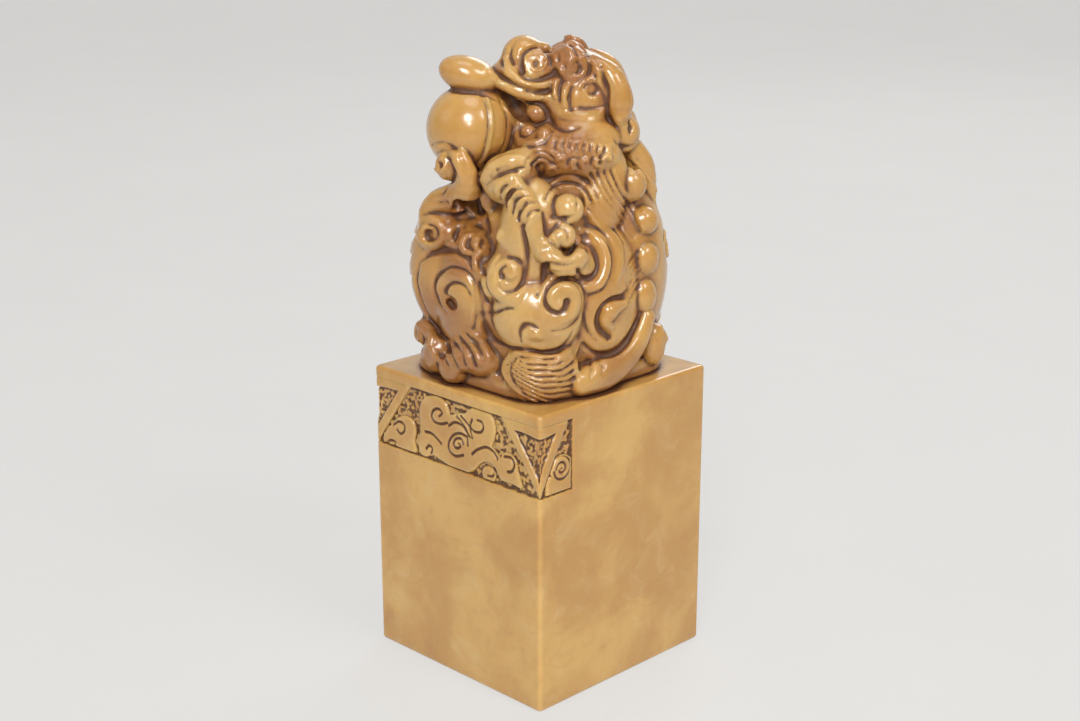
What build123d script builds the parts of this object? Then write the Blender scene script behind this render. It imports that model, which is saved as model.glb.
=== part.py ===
from build123d import *
from math import cos, radians, sin, sqrt
import os

# Square seal block, standing on its seal face
QUARTER_TURN = 90  # degrees
HALF_TURN = 180

BLOCK_WIDTH = 40.0
BLOCK_HEIGHT = 51.1
BLOCK_SIDE_ROUND = 0.7
BLOCK_WORN_ROUND = 1.6
BLOCK_RIM_ROUND = 0.5

# Carved band below the block's top, on one face and round both its corners
BAND_BOTTOM = 37.2
BAND_TOP = 49.2
BAND_RETURN = 7.5
BAND_DEPTH = 0.5

# Pointed lappet folded over each corner of the band
LAPPET_FACE_WIDTH = 9.0
LAPPET_RETURN_WIDTH = 6.0
LAPPET_BORDER = 1.7
LAPPET_GROUND_DEPTH = 0.3

# Cloud scroll in the middle of the band: lobes of one cloud, and the cuts that draw its curls
CLOUD_WIDTH = 18.4
CLOUD_CURL_RADIUS = 1.9
CLOUD_CURL_START = -60
CLOUD_CURL_SWEEP = 270
CLOUD_EYE_RADIUS = 2.7
CLOUD_CUT_WIDTH = 0.35
CLOUD_LOBE_RADIUS_SHARES = (0.25, 0.22, 0.3, 0.2, 0.2, 0.24)
CLOUD_LOBE_PLACE_SHARES = ((-0.24, 0.62), (0.31, 0.68), (0.03, 0.42), (-0.34, 0.24), (0.38, 0.2), (0.1, 0.24))
CLOUD_CURL_PLACE_SHARES = ((-0.25, 0.68), (0.31, 0.74), (-0.36, 0.25), (0.42, 0.22))
CLOUD_EYE_PLACE_SHARES = (0.03, 0.42)

# The carving on the block: how high it stands, and the turn of the beast along the diagonal
CARVING_HEIGHT = 55.9
BEAST_TURN = 45

# Rock under the beast
ROCK_HEIGHT = 5.4
ROCK_LEDGE = 2.4
ROCK_CORNER = 8.0
ROCK_DRAW = 0.9
ROCK_RIM_ROUND = 0.8

# Body: sections given as height, half width, corner radius and shift towards the tail
BODY_SECTION_SHARES = (
    (0.08, 0.395, 0.2, 0.0),
    (0.23, 0.4, 0.22, 0.0),
    (0.36, 0.38, 0.23, 0.005),
    (0.49, 0.33, 0.22, 0.02),
    (0.62, 0.25, 0.17, 0.06),
    (0.72, 0.16, 0.11, 0.1),
)

# Rounded masses: places are shares of the block's width along the beast (tail positive) and towards
# its near side, and of the carving's height; a facing of zero looks to the near side, ninety to the tail
RUMP_ACROSS = 9.5
RUMP_OUT = 9.0
RUMP_UP = 16.5
RUMP_PLACE_SHARES = (0.31, 0.0, 0.31)

CHEST_ACROSS = 9.0
CHEST_OUT = 9.0
CHEST_UP = 13.0
CHEST_PLACE_SHARES = (-0.32, 0.03, 0.32)

HAUNCH_ACROSS = 9.2
HAUNCH_OUT = 5.2
HAUNCH_UP = 13.0
HAUNCH_PLACE_SHARES = (0.245, 0.245, 0.25)
HAUNCH_FACING = 45
HAUNCH_CURL_RADIUS = 3.6
HAUNCH_CURL_WIRE = 0.85

FORELEG_ACROSS = 8.0
FORELEG_OUT = 5.2
FORELEG_UP = 11.5
FORELEG_PLACE_SHARES = (-0.285, 0.215, 0.26)
FORELEG_FACING = -53
FORELEG_CURL_RADIUS = 4.4
FORELEG_CURL_WIRE = 0.95

PAW_ACROSS = 4.6
PAW_OUT = 4.2
PAW_UP = 3.2
PAW_PLACE_SHARES = (-0.22, 0.33, 0.1)
PAW_FACING = -33
TOE_RADIUS = 1.5
TOE_COUNT = 4
TOE_SPREAD = 84
TOE_REACH_SHARE = 0.8
TOE_DROP_SHARE = 0.35

# Hind foot: a crescent bent round the foot of the haunch
HIND_FOOT_WIDTH = 4.4
HIND_FOOT_BEND = 9.5
HIND_FOOT_SWEEP = 100
HIND_FOOT_PLACE_SHARES = (0.29, 0.29, 0.235)
HIND_FOOT_START = -5

# Cub climbing the front corner
CUB_BODY_ACROSS = 5.8
CUB_BODY_OUT = 5.6
CUB_BODY_UP = 11.5
CUB_BODY_PLACE_SHARES = (-0.03, 0.345, 0.42)
CUB_BODY_CURL_RADIUS = 3.0
CUB_BODY_CURL_WIRE = 0.7
CUB_BODY_CURL_DROP_SHARE = 0.12
CUB_BODY_CURL_SIDE_SHARE = 0.45

CUB_HEAD_ACROSS = 4.3
CUB_HEAD_OUT = 4.4
CUB_HEAD_UP = 4.0
CUB_HEAD_PLACE_SHARES = (-0.115, 0.29, 0.62)
CUB_HEAD_FACING = -20
CUB_EAR_RADIUS = 2.2
CUB_EAR_SIDE_SHARE = 0.45

CUB_HAUNCH_ACROSS = 7.4
CUB_HAUNCH_OUT = 5.0
CUB_HAUNCH_UP = 6.6
CUB_HAUNCH_PLACE_SHARES = (-0.01, 0.415, 0.24)
CUB_HAUNCH_CURL_RADIUS = 3.2
CUB_HAUNCH_CURL_WIRE = 0.75
CUB_HAUNCH_CURL_SIDE_SHARE = 0.42
CUB_HAUNCH_CURL_RISE_SHARE = 0.4

CUB_ARM_WIDTH = 3.2
CUB_ARM_BEND = 3.6
CUB_ARM_SWEEP = 120
CUB_ARM_PLACE_SHARES = (0.1, 0.44, 0.46)
CUB_ARM_START = 200
CUB_ARM_FACING = 12

LOCK_RADIUS = 2.4
LOCK_PLACE_SHARES = ((0.11, 0.4, 0.545), (0.095, 0.43, 0.475), (0.15, 0.38, 0.375))

# Ribbed end of the tail, standing at the front corner
TAIL_TUFT_RADIUS = 5.8
TAIL_TUFT_FOOT = 0.4
TAIL_TUFT_HEIGHT = 8.2
TAIL_TUFT_RIBS = 9
TAIL_TUFT_RIB_DEPTH = 0.45
TAIL_TUFT_NECK_SHARE = 0.8
TAIL_TUFT_PLACE_SHARES = (0.0, 0.4)

# Beads along the spine, from the neck down to the rock
BEAD_RADIUS = 2.4
BEAD_LENGTH_SHARES = (1.15, 1.0, 1.15, 1.3, 1.6)
BEAD_PLACE_SHARES = (
    (0.36, 0.16, 0.585),
    (0.425, 0.135, 0.48),
    (0.44, 0.15, 0.37),
    (0.435, 0.17, 0.255),
    (0.475, 0.12, 0.095),
)

BACK_LOCK_ACROSS = 3.2
BACK_LOCK_OUT = 2.6
BACK_LOCK_UP = 7.0
BACK_LOCK_PLACE_SHARES = (0.43, 0.02, 0.57)
BACK_LOCK_LEAN = -24

HAIR_FAN_ACROSS = 4.2
HAIR_FAN_OUT = 3.2
HAIR_FAN_UP = 9.0
HAIR_FAN_PLACE_SHARES = (0.28, 0.215, 0.555)
HAIR_FAN_FACING = 40
HAIR_FAN_ROLL = 18

FAR_FLANK_ACROSS = 8.4
FAR_FLANK_OUT = 6.4
FAR_FLANK_UP = 13.5
FAR_FLANK_PLACE_SHARES = (0.0, -0.37, 0.33)
FAR_FLANK_CURL_RADIUS = 4.2
FAR_FLANK_CURL_WIRE = 0.95

# Head, looking along the diagonal
SKULL_ALONG = 8.4
SKULL_ASIDE = 7.4
SKULL_UP = 8.2
SKULL_PLACE_SHARES = (0.145, 0.01, 0.81)

MUZZLE_ALONG = 6.8
MUZZLE_ASIDE = 5.6
MUZZLE_UP = 4.6
MUZZLE_PLACE_SHARES = (-0.03, 0.02, 0.87)

NOSTRIL_LEAN = -30
NOSTRIL_RADIUS = 2.6
NOSTRIL_WIRE = 0.6
NOSE_RADIUS = 3.0
NOSE_PLACE_SHARES = (-0.3, 0.0, 0.62)
NOSTRIL_PLACE_SHARES = (0.18, 0.82, 0.42)

JAW_ALONG = 7.2
JAW_ASIDE = 8.4
JAW_UP = 4.4
JAW_PLACE_SHARES = (0.03, 0.06, 0.68)

TONGUE_RADIUS = 1.9
TONGUE_PLACE_SHARES = (-0.04, 0.15, 0.77)

BEARD_ALONG = 8.0
BEARD_ASIDE = 5.6
BEARD_UP = 4.2
BEARD_PLACE_SHARES = (0.12, 0.19, 0.66)

BROW_RADIUS = 2.7
BROW_COUNT = 3
BROW_SPAN_SHARE = 0.5
BROW_PLACE_SHARES = (-0.15, 0.7)

EAR_ACROSS = 2.6
EAR_OUT = 2.1
EAR_UP = 5.6
EAR_PLACE_SHARES = (0.31, 0.14, 0.825)
EAR_FACING = 62
EAR_LEAN = -12

CHEEK_RADIUS = 2.9
CHEEK_PLACE_SHARES = (0.32, 0.1, 0.725)

# Ball held before the jaws, with its two ribbons, the lobe above it and the scroll that carries it
BALL_RADIUS = 7.3
BALL_PLACE_SHARES = (-0.28, 0.1, 0.735)
RIBBON_WIRE = 0.55
RIBBON_OFFSET_SHARES = (0.36, 0.58)
RIBBON_LEAN = 8
RIBBON_SWEEP = 110

BALL_LOBE_ALONG = 5.4
BALL_LOBE_ASIDE = 3.2
BALL_LOBE_UP = 2.7
BALL_LOBE_OFFSET_SHARE = -0.05
BALL_LOBE_RISE_SHARE = 1.2
BALL_LOBE_LEAN = 12

STEM_ALONG = 3.0
STEM_ASIDE = 3.4
STEM_UP = 6.0
STEM_PLACE_SHARES = (-0.31, 0.165, 0.59)
STEM_ROLL = 14
HOOK_RADIUS = 2.9
HOOK_FACING = -25
HOOK_WIRE = 0.68
HOOK_SIDE_SHARE = 0.35
HOOK_RISE_SHARE = 0.35

SHOULDER_RADIUS = 4.6
SHOULDER_OUT = 3.6
SHOULDER_PLACE_SHARES = (-0.43, 0.12, 0.45)
SHOULDER_FACING = -70
SHOULDER_CURL_RADIUS = 2.6
SHOULDER_CURL_WIRE = 0.6

BASE_SCROLL_RADIUS = 2.8
BASE_SCROLL_PLACE_SHARES = ((-0.435, 0.185, 0.07), (-0.365, 0.275, 0.055))

# Curls: each quarter turn is this much tighter than the one before it
CURL_QUARTERS = 5
CURL_TIGHTEN_SHARE = 0.78
CURL_EYE_SHARE = 1.05
CURL_SINK_SHARE = 0.3

# Bits of a mass that a cut leaves behind, smaller than this share of it, are chipped away
CRUMB_SHARE = 0.1

# How far every cutting shape runs past what it cuts
OVERRUN = 5.0


def spot(shares):
    """A place on the carving, from its shares along, towards the near side and up."""
    along, near, up = shares
    return Pos(along * BLOCK_WIDTH, -near * BLOCK_WIDTH, BLOCK_HEIGHT + up * CARVING_HEIGHT)


def egg(across, out, up):
    """Ellipsoid about the origin."""
    return scale(Sphere(1), by=(across, out, up))


def facing(angle, roll=0, lean=0):
    """Turn that points the near side of a mass outwards at an angle."""
    return Rot(0, 0, angle) * Rot(lean, 0, 0) * Rot(0, roll, 0)


def curl(radius, wire, hand=1):
    """Flat spiral of quarter arcs round the origin, facing the near side, with a bead for its eye."""
    path = []
    start = Vector(radius, 0)
    heading = Vector(0, 1)
    turn = radius
    for quarter in range(CURL_QUARTERS):
        arc = JernArc(start, heading, turn, QUARTER_TURN)
        path.append(arc)
        start = arc @ 1
        heading = arc % 1
        turn *= CURL_TIGHTEN_SHARE
    line = Wire([piece.edge() for piece in path])
    tube = sweep(Plane(origin=line @ 0, z_dir=line % 0) * Circle(wire), path=line)
    upright = Rot(QUARTER_TURN, 0, 0) * (tube + Pos(*(line @ 1)) * Sphere(CURL_EYE_SHARE * wire))
    return upright if hand > 0 else mirror(upright, about=Plane.YZ)


def on_pole(mass_out, radius, wire, side=0, rise=0, hand=1):
    """A curl laid on the outward side of a mass."""
    return Pos(side, -mass_out + CURL_SINK_SHARE * wire, rise) * curl(radius, wire, hand)


def crescent(width, bend, start, sweep_angle):
    """Bent tube with rounded ends, in an upright plane that faces the near side."""
    line = CenterArc((0, 0), bend, start, sweep_angle)
    tube = sweep(Plane(origin=line @ 0, z_dir=line % 0) * Circle(width / 2), path=line)
    tip = Sphere(CURL_EYE_SHARE * width / 2)
    return Rot(QUARTER_TURN, 0, 0) * (tube + Pos(*(line @ 0)) * tip + Pos(*(line @ 1)) * tip)


def far(solid):
    """The same mass on the beast's far side."""
    return mirror(solid, about=Plane.XZ)


def block_blank():
    blank = Pos(0, 0, BLOCK_HEIGHT / 2) * Box(BLOCK_WIDTH, BLOCK_WIDTH, BLOCK_HEIGHT)
    sides = blank.edges().filter_by(Axis.Z)
    worn = sides.sort_by(lambda edge: edge.center().X + edge.center().Y)[-1]
    blank = fillet(sides.filter_by(lambda edge: edge != worn), BLOCK_SIDE_ROUND)
    sides = blank.edges().filter_by(Axis.Z)
    worn = sides.sort_by(lambda edge: edge.center().X + edge.center().Y)[-1]
    blank = fillet(worn, BLOCK_WORN_ROUND)
    rims = blank.faces().sort_by(Axis.Z)
    return fillet(rims[0].edges() + rims[-1].edges(), BLOCK_RIM_ROUND)


def band_skin(blank):
    """The layer of stone that the band's ground is cut out of."""
    height = BAND_TOP - BAND_BOTTOM
    front = -BLOCK_WIDTH / 2
    reach = Pos(0, front, BAND_BOTTOM) * Box(
        BLOCK_WIDTH + OVERRUN, 2 * BAND_RETURN, height, align=(Align.CENTER, Align.CENTER, Align.MIN)
    )
    inner = BLOCK_WIDTH - 2 * BAND_DEPTH
    kept = Pos(0, 0, BAND_BOTTOM) * Box(
        inner, inner, height, align=(Align.CENTER, Align.CENTER, Align.MIN)
    )
    return (blank & reach) - kept


def lappet_prism(inset):
    """Triangle seen along the diagonal, wider on the band's face than on the return."""
    height = BAND_TOP - BAND_BOTTOM
    left = -(LAPPET_FACE_WIDTH - inset) / sqrt(2)
    right = (LAPPET_RETURN_WIDTH - inset) / sqrt(2)
    drop = height * (1 - inset / LAPPET_RETURN_WIDTH)
    outline = Polyline((0, BAND_TOP - drop), (right, BAND_TOP), (left, BAND_TOP), close=True)
    prism = extrude(Plane.XZ * make_face(outline), BLOCK_WIDTH / 2, both=True)
    return Pos(BLOCK_WIDTH / 2, -BLOCK_WIDTH / 2, 0) * Rot(0, 0, BEAST_TURN) * prism


def lappet(skin):
    raised = skin & lappet_prism(0)
    sunk = BLOCK_WIDTH - 2 * LAPPET_GROUND_DEPTH
    core = Pos(0, 0, BLOCK_HEIGHT / 2) * Box(sunk, sunk, BLOCK_HEIGHT)
    return raised - (lappet_prism(LAPPET_BORDER) - core)


def cloud_scroll(skin):
    height = BAND_TOP - BAND_BOTTOM
    lobes = Sketch()
    for place, share in zip(CLOUD_LOBE_PLACE_SHARES, CLOUD_LOBE_RADIUS_SHARES):
        lobes += Pos(place[0] * CLOUD_WIDTH, BAND_BOTTOM + place[1] * height) * Circle(share * height)
    cuts = Sketch()
    for place in CLOUD_CURL_PLACE_SHARES:
        arc = CenterArc((0, 0), CLOUD_CURL_RADIUS, CLOUD_CURL_START, CLOUD_CURL_SWEEP)
        cuts += Pos(place[0] * CLOUD_WIDTH, BAND_BOTTOM + place[1] * height) * trace(arc, CLOUD_CUT_WIDTH)
    eye = Circle(CLOUD_EYE_RADIUS) - Circle(CLOUD_EYE_RADIUS - CLOUD_CUT_WIDTH)
    eye_across = CLOUD_EYE_PLACE_SHARES[0] * CLOUD_WIDTH
    eye_up = BAND_BOTTOM + CLOUD_EYE_PLACE_SHARES[1] * height
    cuts += Pos(eye_across, eye_up) * eye
    front = Plane.XZ.offset(BLOCK_WIDTH / 2)
    raised = extrude(front * lobes, -BLOCK_WIDTH / 2)
    grooves = extrude(front * cuts, -BAND_DEPTH / 2) + extrude(front * cuts, OVERRUN)
    return (skin & raised) - grooves


def rock():
    bottom = BLOCK_WIDTH - 2 * ROCK_LEDGE
    top = bottom - 2 * ROCK_DRAW
    lower = Plane.XY.offset(BLOCK_HEIGHT) * RectangleRounded(bottom, bottom, ROCK_CORNER)
    upper = Plane.XY.offset(BLOCK_HEIGHT + ROCK_HEIGHT) * RectangleRounded(top, top, ROCK_CORNER)
    mound = loft([lower, upper])
    mound = fillet(mound.faces().sort_by(Axis.Z)[-1].edges(), ROCK_RIM_ROUND)
    return Rot(0, 0, -BEAST_TURN) * mound


def body():
    sections = []
    for up, half, corner, back in BODY_SECTION_SHARES:
        level = Plane.XY.offset(BLOCK_HEIGHT + up * CARVING_HEIGHT)
        side = 2 * half * BLOCK_WIDTH
        outline = Rot(0, 0, BEAST_TURN) * RectangleRounded(side, side, corner * BLOCK_WIDTH)
        sections.append(level * Pos(back * BLOCK_WIDTH, 0) * outline)
    return loft(sections)


def haunch():
    mass = egg(HAUNCH_ACROSS, HAUNCH_OUT, HAUNCH_UP)
    mass = mass + on_pole(HAUNCH_OUT, HAUNCH_CURL_RADIUS, HAUNCH_CURL_WIRE, rise=-HAUNCH_CURL_RADIUS / 2)
    return spot(HAUNCH_PLACE_SHARES) * facing(HAUNCH_FACING) * mass


def foreleg():
    mass = egg(FORELEG_ACROSS, FORELEG_OUT, FORELEG_UP)
    mass = mass + on_pole(FORELEG_OUT, FORELEG_CURL_RADIUS, FORELEG_CURL_WIRE, hand=-1)
    return spot(FORELEG_PLACE_SHARES) * facing(FORELEG_FACING) * mass


def paw():
    pad = egg(PAW_ACROSS, PAW_OUT, PAW_UP)
    for toe in range(TOE_COUNT):
        angle = radians(TOE_SPREAD * (toe / (TOE_COUNT - 1) - 0.5))
        side = TOE_REACH_SHARE * PAW_ACROSS * sin(angle)
        out = TOE_REACH_SHARE * PAW_OUT * cos(angle)
        pad = pad + Pos(side, -out, -TOE_DROP_SHARE * PAW_UP) * Sphere(TOE_RADIUS)
    return spot(PAW_PLACE_SHARES) * facing(PAW_FACING) * pad


def hind_foot():
    bent = crescent(HIND_FOOT_WIDTH, HIND_FOOT_BEND, HIND_FOOT_START, -HIND_FOOT_SWEEP)
    return spot(HIND_FOOT_PLACE_SHARES) * facing(HAUNCH_FACING) * bent


def cub_body():
    side = -CUB_BODY_CURL_SIDE_SHARE * CUB_BODY_ACROSS
    drop = -CUB_BODY_CURL_DROP_SHARE * CUB_BODY_UP
    mass = egg(CUB_BODY_ACROSS, CUB_BODY_OUT, CUB_BODY_UP)
    mass = mass + on_pole(CUB_BODY_OUT, CUB_BODY_CURL_RADIUS, CUB_BODY_CURL_WIRE, side, drop, hand=-1)
    return spot(CUB_BODY_PLACE_SHARES) * mass


def cub_head():
    skull = egg(CUB_HEAD_ACROSS, CUB_HEAD_OUT, CUB_HEAD_UP)
    for side in (-1, 1):
        ear_aside = side * CUB_EAR_SIDE_SHARE * CUB_HEAD_ACROSS
        skull = skull + Pos(ear_aside, 0, CUB_HEAD_UP / 2) * Sphere(CUB_EAR_RADIUS)
    return spot(CUB_HEAD_PLACE_SHARES) * facing(CUB_HEAD_FACING) * skull


def cub_haunch():
    side = CUB_HAUNCH_CURL_SIDE_SHARE * CUB_HAUNCH_ACROSS
    rise = CUB_HAUNCH_CURL_RISE_SHARE * CUB_HAUNCH_UP
    mass = egg(CUB_HAUNCH_ACROSS, CUB_HAUNCH_OUT, CUB_HAUNCH_UP)
    mass = mass + on_pole(CUB_HAUNCH_OUT, CUB_HAUNCH_CURL_RADIUS, CUB_HAUNCH_CURL_WIRE, side, rise)
    return spot(CUB_HAUNCH_PLACE_SHARES) * mass


def cub_arm():
    bent = crescent(CUB_ARM_WIDTH, CUB_ARM_BEND, CUB_ARM_START, CUB_ARM_SWEEP)
    return spot(CUB_ARM_PLACE_SHARES) * facing(CUB_ARM_FACING) * bent


def group(places, shape):
    """The same shape at several places, as one node of separate or joined solids."""
    solids = Part()
    for place in places:
        solids += spot(place) * shape
    return solids


def tail_tuft():
    """Barrel of ribs: a scalloped profile turned about its upright axis."""
    pitch = (TAIL_TUFT_HEIGHT - TAIL_TUFT_FOOT) / TAIL_TUFT_RIBS
    edge = []
    for rib in range(TAIL_TUFT_RIBS + 1):
        rise = rib / TAIL_TUFT_RIBS
        bulge = TAIL_TUFT_NECK_SHARE + (1 - TAIL_TUFT_NECK_SHARE) * sin(radians(HALF_TURN * rise))
        edge.append(Vector(TAIL_TUFT_RADIUS * bulge - TAIL_TUFT_RIB_DEPTH, TAIL_TUFT_FOOT + rib * pitch))
    foot = Vector(edge[0].X, 0)
    outline = [Line((0, 0), foot), Line(foot, edge[0])]
    for low, high in zip(edge, edge[1:]):
        crown = (low + high) / 2 + Vector(TAIL_TUFT_RIB_DEPTH, 0)
        outline.append(ThreePointArc(low, crown, high))
    outline.append(Line(edge[-1], (0, TAIL_TUFT_HEIGHT)))
    outline.append(Line((0, TAIL_TUFT_HEIGHT), (0, 0)))
    profile = make_face(Plane.XZ * Wire([line.edge() for line in outline]))
    along, near = TAIL_TUFT_PLACE_SHARES
    return Pos(along * BLOCK_WIDTH, -near * BLOCK_WIDTH, BLOCK_HEIGHT) * revolve(profile, Axis.Z)


def spine_beads():
    beads = Part()
    for place, length in zip(BEAD_PLACE_SHARES, BEAD_LENGTH_SHARES):
        beads += spot(place) * egg(BEAD_RADIUS, BEAD_RADIUS, length * BEAD_RADIUS)
    return beads


def muzzle():
    snout = egg(MUZZLE_ALONG, MUZZLE_ASIDE, MUZZLE_UP)
    along, near, up = NOSE_PLACE_SHARES
    return spot(MUZZLE_PLACE_SHARES) * (
        snout + Pos(along * MUZZLE_ALONG, -near * MUZZLE_ASIDE, up * MUZZLE_UP) * Sphere(NOSE_RADIUS)
    )


def nostril():
    """Curl on the near side of the muzzle, tipped up to lie on its shoulder."""
    along, near, up = NOSTRIL_PLACE_SHARES
    seat = Pos(along * MUZZLE_ALONG, -near * MUZZLE_ASIDE, up * MUZZLE_UP)
    boss = egg(NOSTRIL_RADIUS, NOSTRIL_WIRE + NOSTRIL_WIRE, NOSTRIL_RADIUS)
    swirl = Pos(0, -NOSTRIL_WIRE, 0) * curl(NOSTRIL_RADIUS, NOSTRIL_WIRE)
    return spot(MUZZLE_PLACE_SHARES) * seat * facing(0, lean=NOSTRIL_LEAN) * (boss + swirl)


def brow_tufts():
    rear, up = BROW_PLACE_SHARES
    tufts = Part()
    for tuft in range(BROW_COUNT):
        aside = BROW_SPAN_SHARE * SKULL_ASIDE * (tuft - (BROW_COUNT - 1) / 2)
        tufts += Pos(rear * SKULL_ALONG, -aside, up * SKULL_UP) * Sphere(BROW_RADIUS)
    return spot(SKULL_PLACE_SHARES) * tufts


def ball_ribbon():
    rings = Part()
    for share in RIBBON_OFFSET_SHARES:
        ring_radius = BALL_RADIUS * sqrt(1 - share**2)
        strip = crescent(2 * RIBBON_WIRE, ring_radius, HALF_TURN - RIBBON_SWEEP / 2, RIBBON_SWEEP)
        rings += Pos(share * BALL_RADIUS, 0, 0) * facing(QUARTER_TURN) * strip
    return spot(BALL_PLACE_SHARES) * Rot(0, RIBBON_LEAN, 0) * rings


def ball_lobe():
    seat = Pos(BALL_LOBE_OFFSET_SHARE * BALL_RADIUS, 0, BALL_LOBE_RISE_SHARE * BALL_RADIUS)
    lobe = Rot(0, BALL_LOBE_LEAN, 0) * egg(BALL_LOBE_ALONG, BALL_LOBE_ASIDE, BALL_LOBE_UP)
    return spot(BALL_PLACE_SHARES) * seat * lobe


def hook_scroll():
    stem = Rot(0, STEM_ROLL, 0) * egg(STEM_ALONG, STEM_ASIDE, STEM_UP)
    seat = Pos(-HOOK_SIDE_SHARE * STEM_UP, -STEM_ASIDE + HOOK_WIRE, HOOK_RISE_SHARE * STEM_UP)
    return spot(STEM_PLACE_SHARES) * (stem + seat * facing(HOOK_FACING) * curl(HOOK_RADIUS, HOOK_WIRE))


def shoulder_scroll():
    mass = egg(SHOULDER_RADIUS, SHOULDER_OUT, SHOULDER_RADIUS)
    mass = mass + on_pole(SHOULDER_OUT, SHOULDER_CURL_RADIUS, SHOULDER_CURL_WIRE)
    return spot(SHOULDER_PLACE_SHARES) * facing(SHOULDER_FACING) * mass


def far_flank():
    mass = egg(FAR_FLANK_ACROSS, FAR_FLANK_OUT, FAR_FLANK_UP)
    mass = mass + on_pole(FAR_FLANK_OUT, FAR_FLANK_CURL_RADIUS, FAR_FLANK_CURL_WIRE)
    return spot(FAR_FLANK_PLACE_SHARES) * facing(HALF_TURN) * mass


def back_lock():
    lock = facing(QUARTER_TURN, lean=BACK_LOCK_LEAN) * egg(BACK_LOCK_ACROSS, BACK_LOCK_OUT, BACK_LOCK_UP)
    return spot(BACK_LOCK_PLACE_SHARES) * lock


def hair_fan():
    fan = facing(HAIR_FAN_FACING, HAIR_FAN_ROLL) * egg(HAIR_FAN_ACROSS, HAIR_FAN_OUT, HAIR_FAN_UP)
    return spot(HAIR_FAN_PLACE_SHARES) * fan


def ear():
    return spot(EAR_PLACE_SHARES) * facing(EAR_FACING, lean=EAR_LEAN) * egg(EAR_ACROSS, EAR_OUT, EAR_UP)


def apart(a, b):
    """Whether two boxes are clear of each other."""
    return (
        a.min.X > b.max.X or b.min.X > a.max.X
        or a.min.Y > b.max.Y or b.min.Y > a.max.Y
        or a.min.Z > b.max.Z or b.min.Z > a.max.Z
    )


def without_crumbs(solids):
    """What the cuts leave of a mass, as one shape."""
    largest = max(solid.volume for solid in solids)
    kept = [solid for solid in solids if solid.volume > CRUMB_SHARE * largest]
    return kept[0] if len(kept) == 1 else Compound(kept)


def carve(masses):
    """Each mass ends where the masses named before it begin, so they meet face to face."""
    carved = {}
    earlier = []
    for name, whole in masses.items():
        solids = whole.solids()
        box = whole.bounding_box(optimal=False)
        for other, other_box in earlier:
            if not apart(box, other_box):
                solids = [left for solid in solids for left in (solid - other).solids()]
        carved[name] = without_crumbs(solids)
        earlier.append((whole, box))
    return carved


def carving():
    masses = {
        "tail_tuft": tail_tuft(),
        "base_scrolls": group(BASE_SCROLL_PLACE_SHARES, Sphere(BASE_SCROLL_RADIUS)),
        "rock_base": rock(),
        "body": body(),
        "rump": spot(RUMP_PLACE_SHARES) * facing(QUARTER_TURN) * egg(RUMP_ACROSS, RUMP_OUT, RUMP_UP),
        "chest": spot(CHEST_PLACE_SHARES) * facing(-QUARTER_TURN) * egg(CHEST_ACROSS, CHEST_OUT, CHEST_UP),
        "near_haunch": haunch(),
        "far_haunch": far(haunch()),
        "near_foreleg": foreleg(),
        "far_foreleg": far(foreleg()),
        "near_paw": paw(),
        "far_paw": far(paw()),
        "skull": spot(SKULL_PLACE_SHARES) * egg(SKULL_ALONG, SKULL_ASIDE, SKULL_UP),
        "muzzle": muzzle(),
        "lower_jaw": spot(JAW_PLACE_SHARES) * egg(JAW_ALONG, JAW_ASIDE, JAW_UP),
        "ball": spot(BALL_PLACE_SHARES) * Sphere(BALL_RADIUS),
        "ball_lobe": ball_lobe(),
        "ball_ribbon": ball_ribbon(),
        "beard": spot(BEARD_PLACE_SHARES) * egg(BEARD_ALONG, BEARD_ASIDE, BEARD_UP),
        "tongue": spot(TONGUE_PLACE_SHARES) * Sphere(TONGUE_RADIUS),
        "brow_tufts": brow_tufts(),
        "near_ear": ear(),
        "far_ear": far(ear()),
        "near_cheek": spot(CHEEK_PLACE_SHARES) * Sphere(CHEEK_RADIUS),
        "far_cheek": far(spot(CHEEK_PLACE_SHARES) * Sphere(CHEEK_RADIUS)),
        "near_nostril": nostril(),
        "hook_scroll": hook_scroll(),
        "shoulder_scroll": shoulder_scroll(),
        "cub_body": cub_body(),
        "cub_head": cub_head(),
        "cub_haunch": cub_haunch(),
        "cub_arm": cub_arm(),
        "cub_locks": group(LOCK_PLACE_SHARES, Sphere(LOCK_RADIUS)),
        "hair_fan": hair_fan(),
        "far_hair_fan": far(hair_fan()),
        "near_hind_foot": hind_foot(),
        "far_hind_foot": far(hind_foot()),
        "far_flank": far_flank(),
        "spine_beads": spine_beads(),
        "back_lock": back_lock(),
    }
    return carve(masses)


os.makedirs("parts", exist_ok=True)

blank = block_blank()
skin = band_skin(blank)
front_lappet = lappet(skin)
pieces = {
    "seal_block": blank - skin,
    "front_lappet": front_lappet,
    "side_lappet": mirror(front_lappet, about=Plane.YZ),
    "cloud_scroll": cloud_scroll(skin),
}
for name, piece in carving().items():
    pieces[name] = piece.rotate(Axis.Z, BEAST_TURN)

for name, piece in pieces.items():
    export_step(piece, f"parts/{name}.step")
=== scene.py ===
"""Looks of a carved soapstone seal stamp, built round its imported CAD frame."""
import math

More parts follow.
